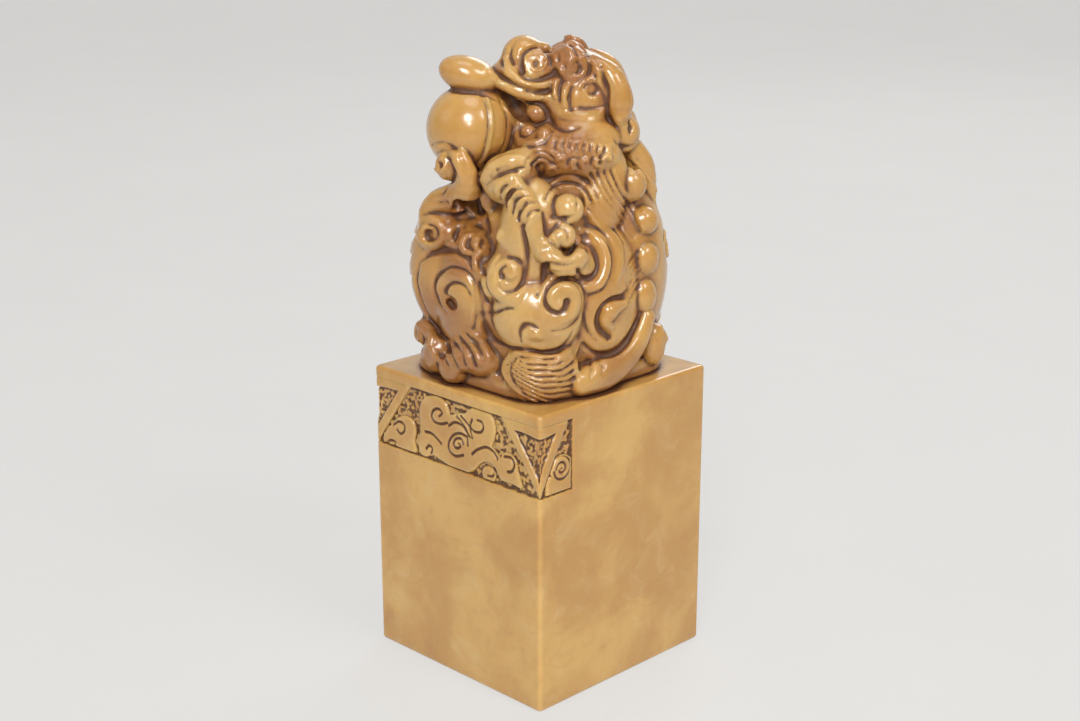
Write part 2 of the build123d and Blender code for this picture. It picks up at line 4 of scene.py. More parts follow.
import bpy
import numpy as np
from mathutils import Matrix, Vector


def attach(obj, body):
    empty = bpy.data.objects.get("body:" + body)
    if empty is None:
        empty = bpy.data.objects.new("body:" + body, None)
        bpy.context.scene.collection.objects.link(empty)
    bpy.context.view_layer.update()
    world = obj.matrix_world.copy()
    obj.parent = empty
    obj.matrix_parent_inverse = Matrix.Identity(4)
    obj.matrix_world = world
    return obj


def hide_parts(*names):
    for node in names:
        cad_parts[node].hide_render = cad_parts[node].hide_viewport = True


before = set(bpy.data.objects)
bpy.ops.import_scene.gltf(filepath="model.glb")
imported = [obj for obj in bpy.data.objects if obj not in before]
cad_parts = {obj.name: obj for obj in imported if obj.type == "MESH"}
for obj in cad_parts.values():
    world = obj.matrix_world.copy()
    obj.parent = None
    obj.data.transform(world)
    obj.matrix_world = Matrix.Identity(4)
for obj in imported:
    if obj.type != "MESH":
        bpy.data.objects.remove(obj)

bl_info = {
    "name": "Carved Seal Stamp",
    "version": (1, 0, 0),
    "blender": (4, 5, 0),
    "location": "View3D > Sidebar > Seal Stamp",
    "description": "Carves a soapstone seal stamp with a guardian beast and dresses it for a studio picture",
    "category": "Object",
}

MM = 0.001
ROOT_HALF = math.sqrt(0.5)
FAR_AWAY = np.float32(9.0)
STIPPLE_SEED = 11

# Marks, in millimetres: ray step, how far their points may miss the skin or jump, and least half width.
RAY_STEP = 0.35
SKIN_MISS = 0.35
MARK_JUMP = 3.2
LEAST_MARK = 0.26

# How far a cut, a hollow and the cub's pale tone are felt, in millimetres, and how strongly.
NEAR_REACH = 0.55
WIDE_REACH = 2.0
TONE_REACH = 0.9
RECESS_GAIN = 5.0
HOLLOW_GAIN = 3.4
CREST_GAIN = 3.6

# The block's softened edges and the band's details, in millimetres.
EDGE_RADIUS = 0.6
LAPPET_HALF = 9.0
LAPPET_NARROWER = 0.72
LOW_SCROLL_RADIUS = 1.45
SWIRL_ASIDE = 5.0
SWIRL_UP = 41.4
SWIRL_RADIUS = 2.1

# Minor colours of the stone.
PALE_PATCH = (0.72, 0.51, 0.225, 1)
BROWN_PATCH = (0.45, 0.20, 0.048, 1)
CREAM = (0.59, 0.385, 0.13, 1)
PALE_CREAM = (0.71, 0.51, 0.21, 1)
VEIN = (0.33, 0.13, 0.035, 1)
# The colour of the paler rolls: partly wear, partly a painted highlight.
WORN_AND_HIGHLIGHT = (0.74, 0.51, 0.21, 1)
SPECK = (0.30, 0.13, 0.04, 1)

# The block, in millimetres.
BLOCK_HALF = 20.0
BLOCK_TOP = 51.1
CORNER = 0.7
BAND_LOW = 37.2
BAND_HIGH = 49.2
BAND_RETURN = 7.5
BAND_DEPTH = 0.5

# The photograph's camera, in the beast's frame: along, towards the near side and up.
PICTURE_WIDTH = 1080
PICTURE_HEIGHT = 721
FOCAL_PIXELS = 1722.0
CAMERA_NEAR = 281.2
CAMERA_UP = 137.2
CAMERA_DROP = math.radians(16.89)
LENS_WIDTH = 36.0

# Enlarged parts of the photograph in which places were picked: left, top and enlargement.
HEAD_PART = (420, 20, 6.533)
BODY_PART = (390, 150, 5.227)
BAND_PART = (370, 360, 7.127)

BALL_MIDDLE = (-11.2, 4.0, 92.2)
BALL_RADIUS = 7.2

# The studio's lamps: name, azimuth and height in degrees, distance and size in metres, power in watts.
LAMPS = (
    ("key", 38, 38, 0.75, 0.24, 3.1),
    ("front", 43, 24, 0.9, 0.10, 0.7),
    ("side", 92, 42, 0.85, 0.28, 1.7),
    ("fill", -30, 30, 0.9, 0.5, 0.35),
    ("top", 60, 82, 0.8, 0.4, 0.9),
    ("rim", 205, 35, 0.8, 0.4, 1.3),
)
SKY_COLOUR = (0.95, 0.97, 1.0, 1)
SKY_STRENGTH = 0.31

# The pale floor, which bends up into a wall behind the stamp, in metres.
FLOOR_REACH = 3.0
BEND_START = 0.8
BEND_RADIUS = 0.9
WALL_TOP = 4.0
WALL_HALF_WIDTH = 4.0

# Places that are darkened, partly by stain and partly by painted shade: place, reach and share.
STAINED_AND_SHADED_PLACES = (
    ((0.0, 0.0, 78.0), 90.0, 0.12),
    ((-16.0, 8.0, 55.5), 14.0, 0.62),
    ((-12.0, 11.0, 74.5), 7.5, 0.44),
    ((-10.0, 14.0, 56.0), 7.0, 0.40),
    ((3.5, 10.5, 88.8), 8.0, 0.42),
    ((-2.0, 8.0, 93.5), 5.0, 0.35),
    ((-12.0, 8.0, 80.5), 5.0, 0.40),
    ((0.0, 17.5, 54.0), 8.0, 0.22),
    ((5.0, 4.0, 103.0), 7.0, 0.40),
    ((13.0, 13.0, 54.0), 7.0, 0.20),
)

CUB_PIECES = ("cub_body", "cub_head", "cub_haunch", "cub_arm", "cub_locks")


def smooth_least(a, b, blend):
    """Least of two distances, with the crease rounded over a blend width."""
    near = np.maximum(blend - np.abs(a - b), 0) / blend
    return np.minimum(a, b) - near * near * blend / 4


def smooth_line(spots, step):
    """Points along a smooth curve through given spots, about a step apart."""
    spots = np.asarray(spots, dtype=float)
    if len(spots) < 3:
        count = max(2, int(np.linalg.norm(spots[-1] - spots[0]) / step) + 1)
        share = np.linspace(0, 1, count)[:, None]
        return spots[0] * (1 - share) + spots[-1] * share
    ends = np.vstack([2 * spots[0] - spots[1], spots, 2 * spots[-1] - spots[-2]])
    runs = []
    for a, b, c, d in zip(ends, ends[1:], ends[2:], ends[3:]):
        count = max(1, int(np.linalg.norm(c - b) / step))
        t = (np.arange(count) / count)[:, None]
        runs.append(
            0.5 * (2 * b + (c - a) * t + (2 * a - 5 * b + 4 * c - d) * t**2 + (3 * b - a - 3 * c + d) * t**3)
        )
    return np.vstack(runs + [spots[-1:]])


def box_blur(grid, reach):
    """Mean of a grid over a square window, with its borders carried outwards."""
    for axis in range(grid.ndim):
        pad = [(reach + 1, reach) if a == axis else (0, 0) for a in range(grid.ndim)]
        total = np.cumsum(np.pad(grid, pad, mode="edge"), axis=axis, dtype=np.float32)
        size = grid.shape[axis]
        high = np.take(total, np.arange(2 * reach + 1, 2 * reach + 1 + size), axis=axis)
        low = np.take(total, np.arange(0, size), axis=axis)
        grid = (high - low) / (2 * reach + 1)
    return grid


def picture_rays(part, spots, side):
    """Eye point and directions, in the beast's frame, of places picked in an enlarged photograph.

    side is near for the photograph itself. far, head and tail give the same view from the other sides.
    """
    left, top, larger = part
    spots = np.asarray(spots, dtype=float)
    u = left + spots[:, 0] / larger
    v = top + spots[:, 1] / larger
    across = (u - PICTURE_WIDTH / 2) / FOCAL_PIXELS
    rise = (PICTURE_HEIGHT / 2 - v) / FOCAL_PIXELS
    away = math.cos(CAMERA_DROP) + rise * math.sin(CAMERA_DROP)
    up = -math.sin(CAMERA_DROP) + rise * math.cos(CAMERA_DROP)
    turns = {"near": (1, 0, 0, -1), "far": (1, 0, 0, 1), "head": (0, 1, 1, 0), "tail": (0, -1, -1, 0)}
    across_s, away_s, across_t, away_t = turns[side]
    eye = np.array([-away_s * CAMERA_NEAR, -away_t * CAMERA_NEAR, CAMERA_UP])
    rays = np.stack([across * across_s + away * away_s, across * across_t + away * away_t, up], axis=1)
    return eye, rays / np.linalg.norm(rays, axis=1)[:, None]


def longest_run(points, seen):
    """The longest run of points that are seen and follow each other without a jump."""
    best, run = [], []
    for index, point in enumerate(points):
        jump = run and np.linalg.norm(point - points[run[-1]]) > MARK_JUMP
        if not seen[index] or jump:
            run = []
        if seen[index]:
            run.append(index)
        if len(run) > len(best):
            best = list(run)
    return points[best]


class Stone:
    """The carving as distances on a grid, with the piece that each place belongs to. Millimetres."""

    def __init__(self, pitch):
        self.pitch = pitch
        self.low = np.array([-BLOCK_HALF, -BLOCK_HALF, BLOCK_TOP - 3 * pitch])
        self.x = np.arange(-BLOCK_HALF, BLOCK_HALF + pitch, pitch).astype(np.float32)
        self.z = np.arange(self.low[2], 108.2, pitch).astype(np.float32)
        shape = (len(self.x), len(self.x), len(self.z))
        self.solid = np.full(shape, FAR_AWAY, dtype=np.float32)
        self.nearest = np.full(shape, FAR_AWAY, dtype=np.float32)
        self.owner = np.zeros(shape, dtype=np.int16)
        self.names = []

    def window(self, low, high):
        """Slices and beast-frame coordinates of the grid inside a box given in the block's frame."""
        first = np.clip(((np.asarray(low) - self.low) / self.pitch).astype(int), 0, None)
        last = np.clip(((np.asarray(high) - self.low) / self.pitch).astype(int) + 2, 1, self.solid.shape)
        part = tuple(slice(a, b) for a, b in zip(first, last))
        x = self.x[part[0]][:, None, None]
        y = self.x[part[1]][None, :, None]
        return part, (x + y) * ROOT_HALF, (x - y) * ROOT_HALF, self.z[part[2]][None, None, :]

    def ball_window(self, place, reach):
        """The grid within a reach of a beast-frame place."""
        middle = beast_to_block(np.asarray(place, dtype=float))
        return self.window(middle - reach, middle + reach)

    def add(self, name, part, distance, blend):
        """A mass joins the stone: it claims the places that lie nearest to it."""
        if name not in self.names:
            self.names.append(name)
        distance = np.broadcast_to(distance, self.solid[part].shape).astype(np.float32)
        closer = distance < self.nearest[part]
        self.owner[part][closer] = self.names.index(name) + 1
        self.nearest[part] = np.minimum(self.nearest[part], distance)
        self.solid[part] = smooth_least(self.solid[part], distance, blend)

    def egg(self, name, place, radii, turn=0, roll=0, lean=0, blend=0.5):
        """Ellipsoid: radii across, out and up; turn 0 faces the near side and 90 the tail."""
        turn, roll, lean = (math.radians(angle) for angle in (turn, roll, lean))
        across = np.array([math.cos(turn), -math.sin(turn), 0])
        out = np.array([math.sin(turn), math.cos(turn), 0])
        up = np.array([0, 0, 1.0])
        out, up = out * math.cos(lean) - up * math.sin(lean), up * math.cos(lean) + out * math.sin(lean)
        turned = across * math.cos(roll) - up * math.sin(roll)
        up = up * math.cos(roll) + across * math.sin(roll)
        across = turned
        part, s, t, z = self.ball_window(place, max(radii) + 3)
        s, t, z = s - place[0], t - place[1], z - place[2]
        scaled = 0
        steep = 0
        for axis, radius in zip((across, out, up), radii):
            along = s * axis[0] + t * axis[1] + z * axis[2]
            scaled = scaled + (along / radius) ** 2
            steep = steep + (along / radius**2) ** 2
        scaled = np.sqrt(scaled)
        self.add(name, part, scaled * (scaled - 1) / np.sqrt(np.maximum(steep, 1e-9)), blend)

    def tube_distance(self, points, radii):
        """Distance from a tapered tube through beast-frame points."""
        points = np.asarray(points, dtype=float)
        radii = np.broadcast_to(np.asarray(radii, dtype=float), len(points))
        block = beast_to_block(points)
        reach = radii.max() + 1.5
        part, s, t, z = self.window(block.min(axis=0) - reach, block.max(axis=0) + reach)
        shape = self.solid[part].shape
        best = np.full(shape, FAR_AWAY, dtype=np.float32)
        for a, b, ra, rb in zip(points, points[1:], radii, radii[1:]):
            run = b - a
            length = max(float(run @ run), 1e-9)
            ps, pt, pz = s - a[0], t - a[1], z - a[2]
            share = np.clip((ps * run[0] + pt * run[1] + pz * run[2]) / length, 0, 1).astype(np.float32)
            gap_s, gap_t, gap_z = ps - share * run[0], pt - share * run[1], pz - share * run[2]
            gap = np.sqrt(gap_s**2 + gap_t**2 + gap_z**2)
            best = np.minimum(best, gap - (ra + (rb - ra) * share))
        return part, best

    def tube(self, name, points, radii, blend=0.5):
        """A tapered tube joins the stone as a mass."""
        part, distance = self.tube_distance(points, radii)
        self.add(name, part, distance, blend)

    def raise_roll(self, points, radii, blend=0.35):
        """A tapered roll swells the pieces that it lies on."""
        part, distance = self.tube_distance(points, radii)
        self.solid[part] = smooth_least(self.solid[part], distance, blend)

    def cut(self, points, radii, blend=0.3):
        """A tapered groove is taken out of the stone."""
        part, distance = self.tube_distance(points, radii)
        self.solid[part] = -smooth_least(-self.solid[part], distance, blend)

    def trim(self, half, blend):
        """Keeps the stone over the block, with its bulges rounded where they reach the limit."""
        side = np.abs(self.x) - half
        edge = -smooth_least(-side[:, None], -side[None, :], 4.0)
        self.solid = -smooth_least(-self.solid, -edge[:, :, None], blend).astype(np.float32)

    def sample(self, grid, points):
        """Grid values at beast-frame points, in between the grid's own places."""
        spot = (beast_to_block(points) - self.low) / self.pitch
        limit = np.array(grid.shape) - 2
        base = np.clip(np.floor(spot).astype(int), 0, limit)
        share = np.clip(spot - base, 0, 1)
        value = 0
        for corner in range(8):
            step = np.array([corner & 1, corner >> 1 & 1, corner >> 2 & 1])
            weight = np.prod(np.where(step, share, 1 - share), axis=1)
            index = base + step
            value = value + weight * grid[index[:, 0], index[:, 1], index[:, 2]]
        return value

    def outward(self, points):
        """Direction straight out of the stone at beast-frame points."""
        step = 0.6
        slope = np.zeros((len(points), 3))
        for axis in range(3):
            shift = np.zeros(3)
            shift[axis] = step
            ahead = self.sample(self.solid, points + shift)
            slope[:, axis] = ahead - self.sample(self.solid, points - shift)
        return slope / np.maximum(np.linalg.norm(slope, axis=1), 1e-6)[:, None]

    def hits(self, part, spots, side):
        """Where the eye's rays first meet the stone, or pass nearest to it."""
        eye, rays = picture_rays(part, spots, side)
        steps = np.arange(CAMERA_NEAR - 32, CAMERA_NEAR + 42, RAY_STEP)
        places = eye + rays[:, None, :] * steps[None, :, None]
        depth = self.sample(self.solid, places.reshape(-1, 3)).reshape(len(rays), -1)
        inside = depth < 0
        first = np.where(inside.any(axis=1), inside.argmax(axis=1), depth.argmin(axis=1))
        rows = np.arange(len(rays))
        reach = steps[first]
        before = np.maximum(first - 1, 0)
        crossing = inside.any(axis=1) & (first > 0)
        fall = np.maximum(depth[rows, before] - depth[rows, first], 1e-6)
        reach = np.where(crossing, steps[before] + RAY_STEP * depth[rows, before] / fall, reach)
        if len(reach) > 4:
            padded = np.pad(reach, 2, mode="edge")
            stacked = np.stack([padded[shift:shift + len(reach)] for shift in range(5)])
            reach = np.median(stacked, axis=0)
        return eye + rays * reach[:, None]

    def on_ball(self, points, radius):
        """Moves points to a distance from the ball's middle."""
        arm = points - np.array(BALL_MIDDLE)
        return np.array(BALL_MIDDLE) + arm * (radius / np.linalg.norm(arm, axis=1))[:, None]

    def settle(self, points):
        """Moves points onto the stone's skin."""
        for _ in range(3):
            gap = self.sample(self.solid, points)
            points = points - self.outward(points) * np.clip(gap, -1.5, 1.5)[:, None]
        return points

    def mark(self, part, spots, radius, rise, ends=(0.35, 1.0, 0.35), side="near", both=False):
        """Draws a roll, or a groove where rise is below zero, along places picked in the photograph."""
        line = smooth_line(spots, part[2] * 2.6)
        skin = self.hits(part, line, side)
        skin = longest_run(skin, np.abs(self.sample(self.solid, skin)) < SKIN_MISS)
        if len(skin) < 2:
            return
        share = np.linspace(0, 1, len(skin))
        width = np.maximum(radius * np.interp(share, np.linspace(0, 1, len(ends)), ends), LEAST_MARK)
        skins = [skin]
        if both:
            skins.append(self.settle(skin * np.array([1, -1, 1])))
        for skin in skins:
            kept = np.abs(self.sample(self.solid, skin)) < SKIN_MISS
            run = longest_run(np.column_stack([skin, width]), kept)
            if len(run) < 2:
                continue
            middle, half = run[:, :3], run[:, 3]
            out = self.outward(middle)
            if rise > 0:
                self.raise_roll(middle - out * (half * (1 - rise))[:, None], half)
            else:
                self.cut(middle + out * (half * (1 + rise))[:, None], half)

    def fan(self, part, first, last, count, radius, rise, **options):
        """Strands spread evenly between two guide lines."""
        first = np.asarray(first, dtype=float)
        last = np.asarray(last, dtype=float)
        for share in np.linspace(0, 1, count):
            self.mark(part, first * (1 - share) + last * share, radius, rise, **options)

    def whorl(self, part, centre, outer, inner, start, turns, radius, rise, **options):
        """A spiral mark, from outer to inner in picture pixels. Turns above zero go clockwise."""
        count = int(abs(turns) * 10) + 3
        angle = np.radians(start) + np.linspace(0, turns * 2 * math.pi, count)
        size = np.linspace(outer, inner, count)
        spots = np.stack([centre[0] + size * np.cos(angle), centre[1] + size * np.sin(angle)], axis=1)
        self.mark(part, spots, radius, rise, **options)


def beast_to_block(points):
    """Block-frame places of beast-frame places: the beast stands along the block's diagonal."""
    points = np.asarray(points, dtype=float)
    x = (points[..., 0] + points[..., 1]) * ROOT_HALF
    y = (points[..., 0] - points[..., 1]) * ROOT_HALF
    return np.stack([x, y, points[..., 2]], axis=-1)


def block_to_beast(points):
    """Beast-frame places of block-frame places."""
    s = (points[..., 0] + points[..., 1]) * ROOT_HALF
    t = (points[..., 0] - points[..., 1]) * ROOT_HALF
    return np.stack([s, t, points[..., 2]], axis=-1)


def mesh_piece(name, node, points, faces, normals=None, **attributes):
    """A closed mesh, in millimetres, that stands for a CAD node."""
    mesh = bpy.data.meshes.new(name)
    mesh.from_pydata((np.asarray(points) * MM).tolist(), [], [list(map(int, face)) for face in faces])
    for key, values in attributes.items():
        layer = mesh.attributes.new(key, "FLOAT", "POINT")
        layer.data.foreach_set("value", np.asarray(values, dtype=np.float32))
    mesh.polygons.foreach_set("use_smooth", [True] * len(mesh.polygons))
    mesh.materials.append(stone_material())
    if normals is not None:
        mesh.normals_split_custom_set_from_vertices(normals.tolist())
    piece = bpy.data.objects.new(name, mesh)
    bpy.context.scene.collection.objects.link(piece)
    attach(piece, "root")
    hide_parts(node)
    return piece


def gathered(count, index, values):
    """Sum of values over the points that they belong to."""
    columns = [np.bincount(index, weights=values[:, axis], minlength=count) for axis in range(3)]
    return np.stack(columns, axis=1)


def net_pieces(stone):
    """Wraps each piece of the stone in a net of quads. Neighbours share their walls exactly."""
    label = np.where(stone.solid < 0, stone.owner, 0).astype(np.int16)
    cells = tuple(np.array(label.shape) - 1)
    total = np.zeros(cells + (3,), dtype=np.float32)
    weight = np.zeros(cells, dtype=np.float32)
    for axis in range(3):
        ahead = tuple(slice(1, None) if a == axis else slice(None) for a in range(3))
        behind = tuple(slice(None, -1) if a == axis else slice(None) for a in range(3))
        p, q = label[behind], label[ahead]
        dp, dq = stone.solid[behind], stone.solid[ahead]
        changed = p != q
        skin = changed & ((p == 0) | (q == 0))
        share = np.where(skin, dp / np.where(skin, dp - dq, 1), 0.5)
        heft = np.where(skin, 1.0, np.where(changed, 1e-3, 0)).astype(np.float32)
        others = [a for a in range(3) if a != axis]
        for first in (0, 1):
            for second in (0, 1):
                shift = {others[0]: first, others[1]: second}
                part = tuple(
                    slice(shift[a], shift[a] + cells[a]) if a in shift else slice(None) for a in range(3)
                )
                weight += heft[part]
                total[..., axis] += heft[part] * share[part]
                for other, step in shift.items():
                    total[..., other] += heft[part] * step
    active = weight > 0
    number = np.full(cells, -1, dtype=np.int64)
    number[active] = np.arange(active.sum())
    corner = np.stack(np.nonzero(active), axis=1)
    points = (corner + total[active] / weight[active][:, None]) * stone.pitch + stone.low

    quads, owners, outside = [], [], []
    for axis in range(3):
        b, c = (axis + 1) % 3, (axis + 2) % 3
        ahead = tuple(slice(1, None) if a == axis else slice(1, -1) for a in range(3))
        behind = tuple(slice(None, -1) if a == axis else slice(1, -1) for a in range(3))
        p, q = label[behind], label[ahead]
        place = np.stack(np.nonzero(p != q), axis=1)
        p, q = p[tuple(place.T)], q[tuple(place.T)]
        place = place + np.array([0 if a == axis else 1 for a in range(3)])
        ring = []
        for back_b, back_c in ((1, 1), (0, 1), (0, 0), (1, 0)):
            cell = place.copy()
            cell[:, b] -= back_b
            cell[:, c] -= back_c
            ring.append(number[tuple(cell.T)])
        ring = np.stack(ring, axis=1)
        skin = (p == 0) | (q == 0)
        for chosen, order, owner in ((p > 0, slice(None), p), (q > 0, slice(None, None, -1), q)):
            quads.append(ring[chosen][:, order])
            owners.append(owner[chosen])
            outside.append(skin[chosen])
    return points, np.vstack(quads), np.concatenate(owners), np.concatenate(outside)


def relax(points, quads, outside, rounds, share):
    """Evens out the net: the skin follows only the skin, and inner walls follow everything."""
    count = len(points)
    on_skin = np.zeros(count, dtype=bool)
    on_skin[quads[outside].ravel()] = True
    for _ in range(rounds):
        pull = np.zeros_like(points)
        heft = np.zeros(count)
        for chosen, wanted in ((outside, on_skin), (~outside, ~on_skin)):
            ring = quads[chosen]
            for step in (1, -1):
                a, b = ring.ravel(), np.roll(ring, step, axis=1).ravel()
                keep = wanted[a]
                pull += gathered(count, a[keep], points[b[keep]])
                heft += np.bincount(a[keep], minlength=count)
        moved = heft > 0
        mean = points.copy()
        mean[moved] = pull[moved] / heft[moved][:, None]
        flat = np.abs(points[:, 2] - BLOCK_TOP) < 0.02
        mean[flat, 2] = points[flat, 2]
        points = points + share * (mean - points)
    return points


def net_normals(points, quads, outside):
    """Directions out of the whole stone, so that pieces shade as one where they meet."""
    count = len(points)
    normals = np.zeros((count, 3))
    for chosen in (~outside, outside):
        ring = quads[chosen]
        face = np.cross(points[ring[:, 2]] - points[ring[:, 0]], points[ring[:, 3]] - points[ring[:, 1]])
        added = sum(gathered(count, ring[:, corner], face) for corner in range(4))
        used = np.linalg.norm(added, axis=1) > 0
        normals[used] = added[used]
    return normals / np.maximum(np.linalg.norm(normals, axis=1), 1e-9)[:, None]


def drop_specks(quads, owners, outside, count):
    """Leaves out loose specks: groups of faces of one piece that hang together only with themselves."""
    keep = np.ones(len(quads), dtype=bool)
    for owner in np.unique(owners):
        mine = np.nonzero(owners == owner)[0]
        used, ring = np.unique(quads[mine], return_inverse=True)
        ring = ring.reshape(-1, 4)
        root = np.arange(len(used))
        while True:
            low = root[ring].min(axis=1)
            fresh = root.copy()
            for corner in range(4):
                np.minimum.at(fresh, ring[:, corner], low)
            fresh = fresh[fresh]
            if np.array_equal(fresh, root):
                break
            root = fresh
        group = root[ring[:, 0]]
        sizes = np.bincount(group, minlength=len(used))
        keep[mine[sizes[group] < 150]] = False
    return quads[keep], owners[keep], outside[keep]


STONE = {}


def stone():
    """The carving in progress."""
    if "work" not in STONE:
        raise RuntimeError("Rough out the stone before carving it")
    return STONE["work"]


class Value:
    """A shader number. Arithmetic with it adds Math nodes."""

    def __init__(self, graph, socket):
        self.graph = graph
        self.socket = socket

    def __add__(self, other):
        return self.graph.math("ADD", self, other)

    def __sub__(self, other):
        return self.graph.math("SUBTRACT", self, other)

    def __rsub__(self, other):
        return self.graph.math("SUBTRACT", other, self)

    def __mul__(self, other):
        return self.graph.math("MULTIPLY", self, other)

    __radd__ = __add__
    __rmul__ = __mul__

    def clamped(self):
        """The value, held between 0 and 1."""
        return self.graph.math("ADD", self, 0.0, clamp=True)

    def span(self, low, high):
        """0 at low, 1 at high, with soft ends."""
        node = self.graph.node(
            "ShaderNodeMapRange",
            {"interpolation_type": "SMOOTHSTEP"},
            {"Value": self, "From Min": low, "From Max": high},
        )
        return Value(self.graph, node.outputs["Result"])


class Graph:
    """Builds one material's nodes."""

    def __init__(self, tree):
        self.tree = tree
        tree.nodes.clear()

    def plug(self, socket, value):
        """Links an output to a socket, or sets the socket's own value."""
        if isinstance(value, Value):
            value = value.socket
        if isinstance(value, bpy.types.NodeSocket):
            self.tree.links.new(value, socket)
        else:
            socket.default_value = value

    def node(self, kind, settings=None, inputs=None):
        """Adds a node: its settings first, then its inputs."""
        node = self.tree.nodes.new(kind)
        for key, value in (settings or {}).items():
            setattr(node, key, value)
        for key, value in (inputs or {}).items():
            self.plug(node.inputs[key], value)
        return node

    def math(self, kind, first, second, clamp=False):
        """One sum of two numbers."""
        node = self.node("ShaderNodeMath", {"operation": kind, "use_clamp": clamp}, {0: first, 1: second})
        return Value(self, node.outputs[0])

    def mix(self, share, first, second):
        """A colour that goes from first to second as the share goes from 0 to 1."""
        node = self.node("ShaderNodeMix", {"data_type": "RGBA"}, {"Factor": share, 6: first, 7: second})
        return node.outputs[2]

    def noise(self, place, size, detail=3.0, rough=0.5, warp=0.0):
        """Cloudy noise whose lumps are about a size in metres across."""
        inputs = {"Vector": place, "Scale": 1 / size, "Detail": detail}
        inputs.update({"Roughness": rough, "Distortion": warp})
        node = self.node("ShaderNodeTexNoise", None, inputs)
        return Value(self, node.outputs["Fac"])

    def attribute(self, name):
        """A number that the mesh carries at each point."""
        node = self.node("ShaderNodeAttribute", {"attribute_name": name})
        return Value(self, node.outputs["Fac"])


def stone_material():
    """Honey soapstone: mottled, veined, polished on its rolls and paler there from wear and a painted
    highlight, stained brown in its recesses, and washed brown in its broad hollows by the stone's aged brown
    and painted shade.
    """
    material = bpy.data.materials.get("honey soapstone")
    if material:
        return material
    material = bpy.data.materials.new("honey soapstone")
    material.use_nodes = True
    graph = Graph(material.node_tree)
    place = graph.node("ShaderNodeTexCoord").outputs["Object"]
    look = settings()
    recess = graph.attribute("recess")
    hollow = graph.attribute("hollow")
    crest = graph.attribute("crest")
    tone = graph.attribute("tone")

    cloud = graph.noise(place, 0.016, 4.0, 0.55, 0.4)
    patch = graph.noise(place, 0.0055, 4.0, 0.6, 0.8)
    grain = graph.noise(place, 0.0012, 5.0, 0.65)
    fine = graph.noise(place, 0.00035, 3.0, 0.6)

    honey = graph.mix(cloud.span(0.38, 0.64), (*look.honey, 1), (*look.pale_honey, 1))
    honey = graph.mix(patch.span(0.52, 0.78) * 0.32, honey, PALE_PATCH)
    honey = graph.mix(patch.span(0.48, 0.26) * 0.34, honey, BROWN_PATCH)
    cream = graph.mix(patch.span(0.35, 0.65), CREAM, PALE_CREAM)
    colour = graph.mix(tone * 0.44, honey, cream)
    vein_bend = graph.noise(place, 0.011, 3.0, 0.5, 1.6)
    vein = 1 - ((vein_bend - 0.5) * (vein_bend - 0.5) * 5200).clamped()
    colour = graph.mix(vein * 0.10, colour, VEIN)
    # Paler rolls: partly wear, partly a painted highlight on the ridges.
    worn_and_highlight = (crest.span(0.05, 0.55) * (0.55 + patch * 0.5)).clamped()
    colour = graph.mix(worn_and_highlight * 0.35, colour, WORN_AND_HIGHLIGHT)
    stain = (recess.span(0.05, 0.52) * (0.62 + grain * 0.7)).clamped()
    # Brown wash in the broad hollows: partly the stone's aged brown, partly painted shade between the forms.
    wash = (hollow.span(0.06, 0.62) * (0.5 + patch * 0.9)).clamped()
    colour = graph.mix(wash * 0.85, colour, (*look.patina_and_shade, 1))
    colour = graph.mix(stain * 0.92, colour, (*look.stain, 1))
    colour = graph.mix(grain.span(0.60, 0.85) * 0.14, colour, SPECK)

    rough = 0.17 + grain * 0.10 + stain * 0.30 + wash * 0.10 - worn_and_highlight * 0.05
    height = grain * 0.5 + fine * 0.25 + patch * 0.6
    bump = graph.node("ShaderNodeBump", None, {"Strength": 0.12, "Distance": 0.00025, "Height": height})
    shader = graph.node(
        "ShaderNodeBsdfPrincipled",
        None,
        {
            "Base Color": colour,
            "Roughness": rough.clamped(),
            "Subsurface Weight": 0.30,
            "Subsurface Radius": (1.0, 0.45, 0.16),
            "Subsurface Scale": 0.0022,
            "IOR": 1.55,
            "Coat Weight": (0.55 - stain * 0.45).clamped(),
            "Coat Roughness": 0.13,
            "Normal": bump.outputs["Normal"],
        },
    )
    graph.node("ShaderNodeOutputMaterial", None, {"Surface": shader.outputs[0]})
    return material


def stage_material(name, colour, rough):
    """A softly mottled studio surface, which shows a little brighter than it is lit."""
    material = bpy.data.materials.new(name)
    material.use_nodes = True
    graph = Graph(material.node_tree)
    place = graph.node("ShaderNodeTexCoord").outputs["Object"]
    mottle = graph.noise(place, 0.05, 4.0)
    darker = tuple(share * 0.96 for share in colour) + (1,)
    shade = graph.mix(mottle, darker, tuple(colour) + (1,))
    inputs = {"Base Color": shade, "Roughness": rough}
    shader = graph.node("ShaderNodeBsdfPrincipled", None, inputs)
    glow = graph.node("ShaderNodeEmission", None, {"Color": shade, "Strength": 1.0})
    path = graph.node("ShaderNodeLightPath")
    seen = Value(graph, path.outputs["Is Camera Ray"]) + Value(graph, path.outputs["Is Glossy Ray"])
    seen = (seen + Value(graph, path.outputs["Is Transmission Ray"])).clamped() * 0.72
    mixed = graph.node("ShaderNodeMixShader", None, {0: seen, 1: shader.outputs[0], 2: glow.outputs[0]})
    graph.node("ShaderNodeOutputMaterial", None, {"Surface": mixed.outputs[0]})
    return material


def taper(line, places, widths):
    """Half widths along a line, from those at shares of its length."""
    return np.interp(np.linspace(0, 1, len(line)), places, widths)


def faced(angle, side):
    """A turn about the upright axis, or its mirror on the far side."""
    return angle if side > 0 else 180 - angle


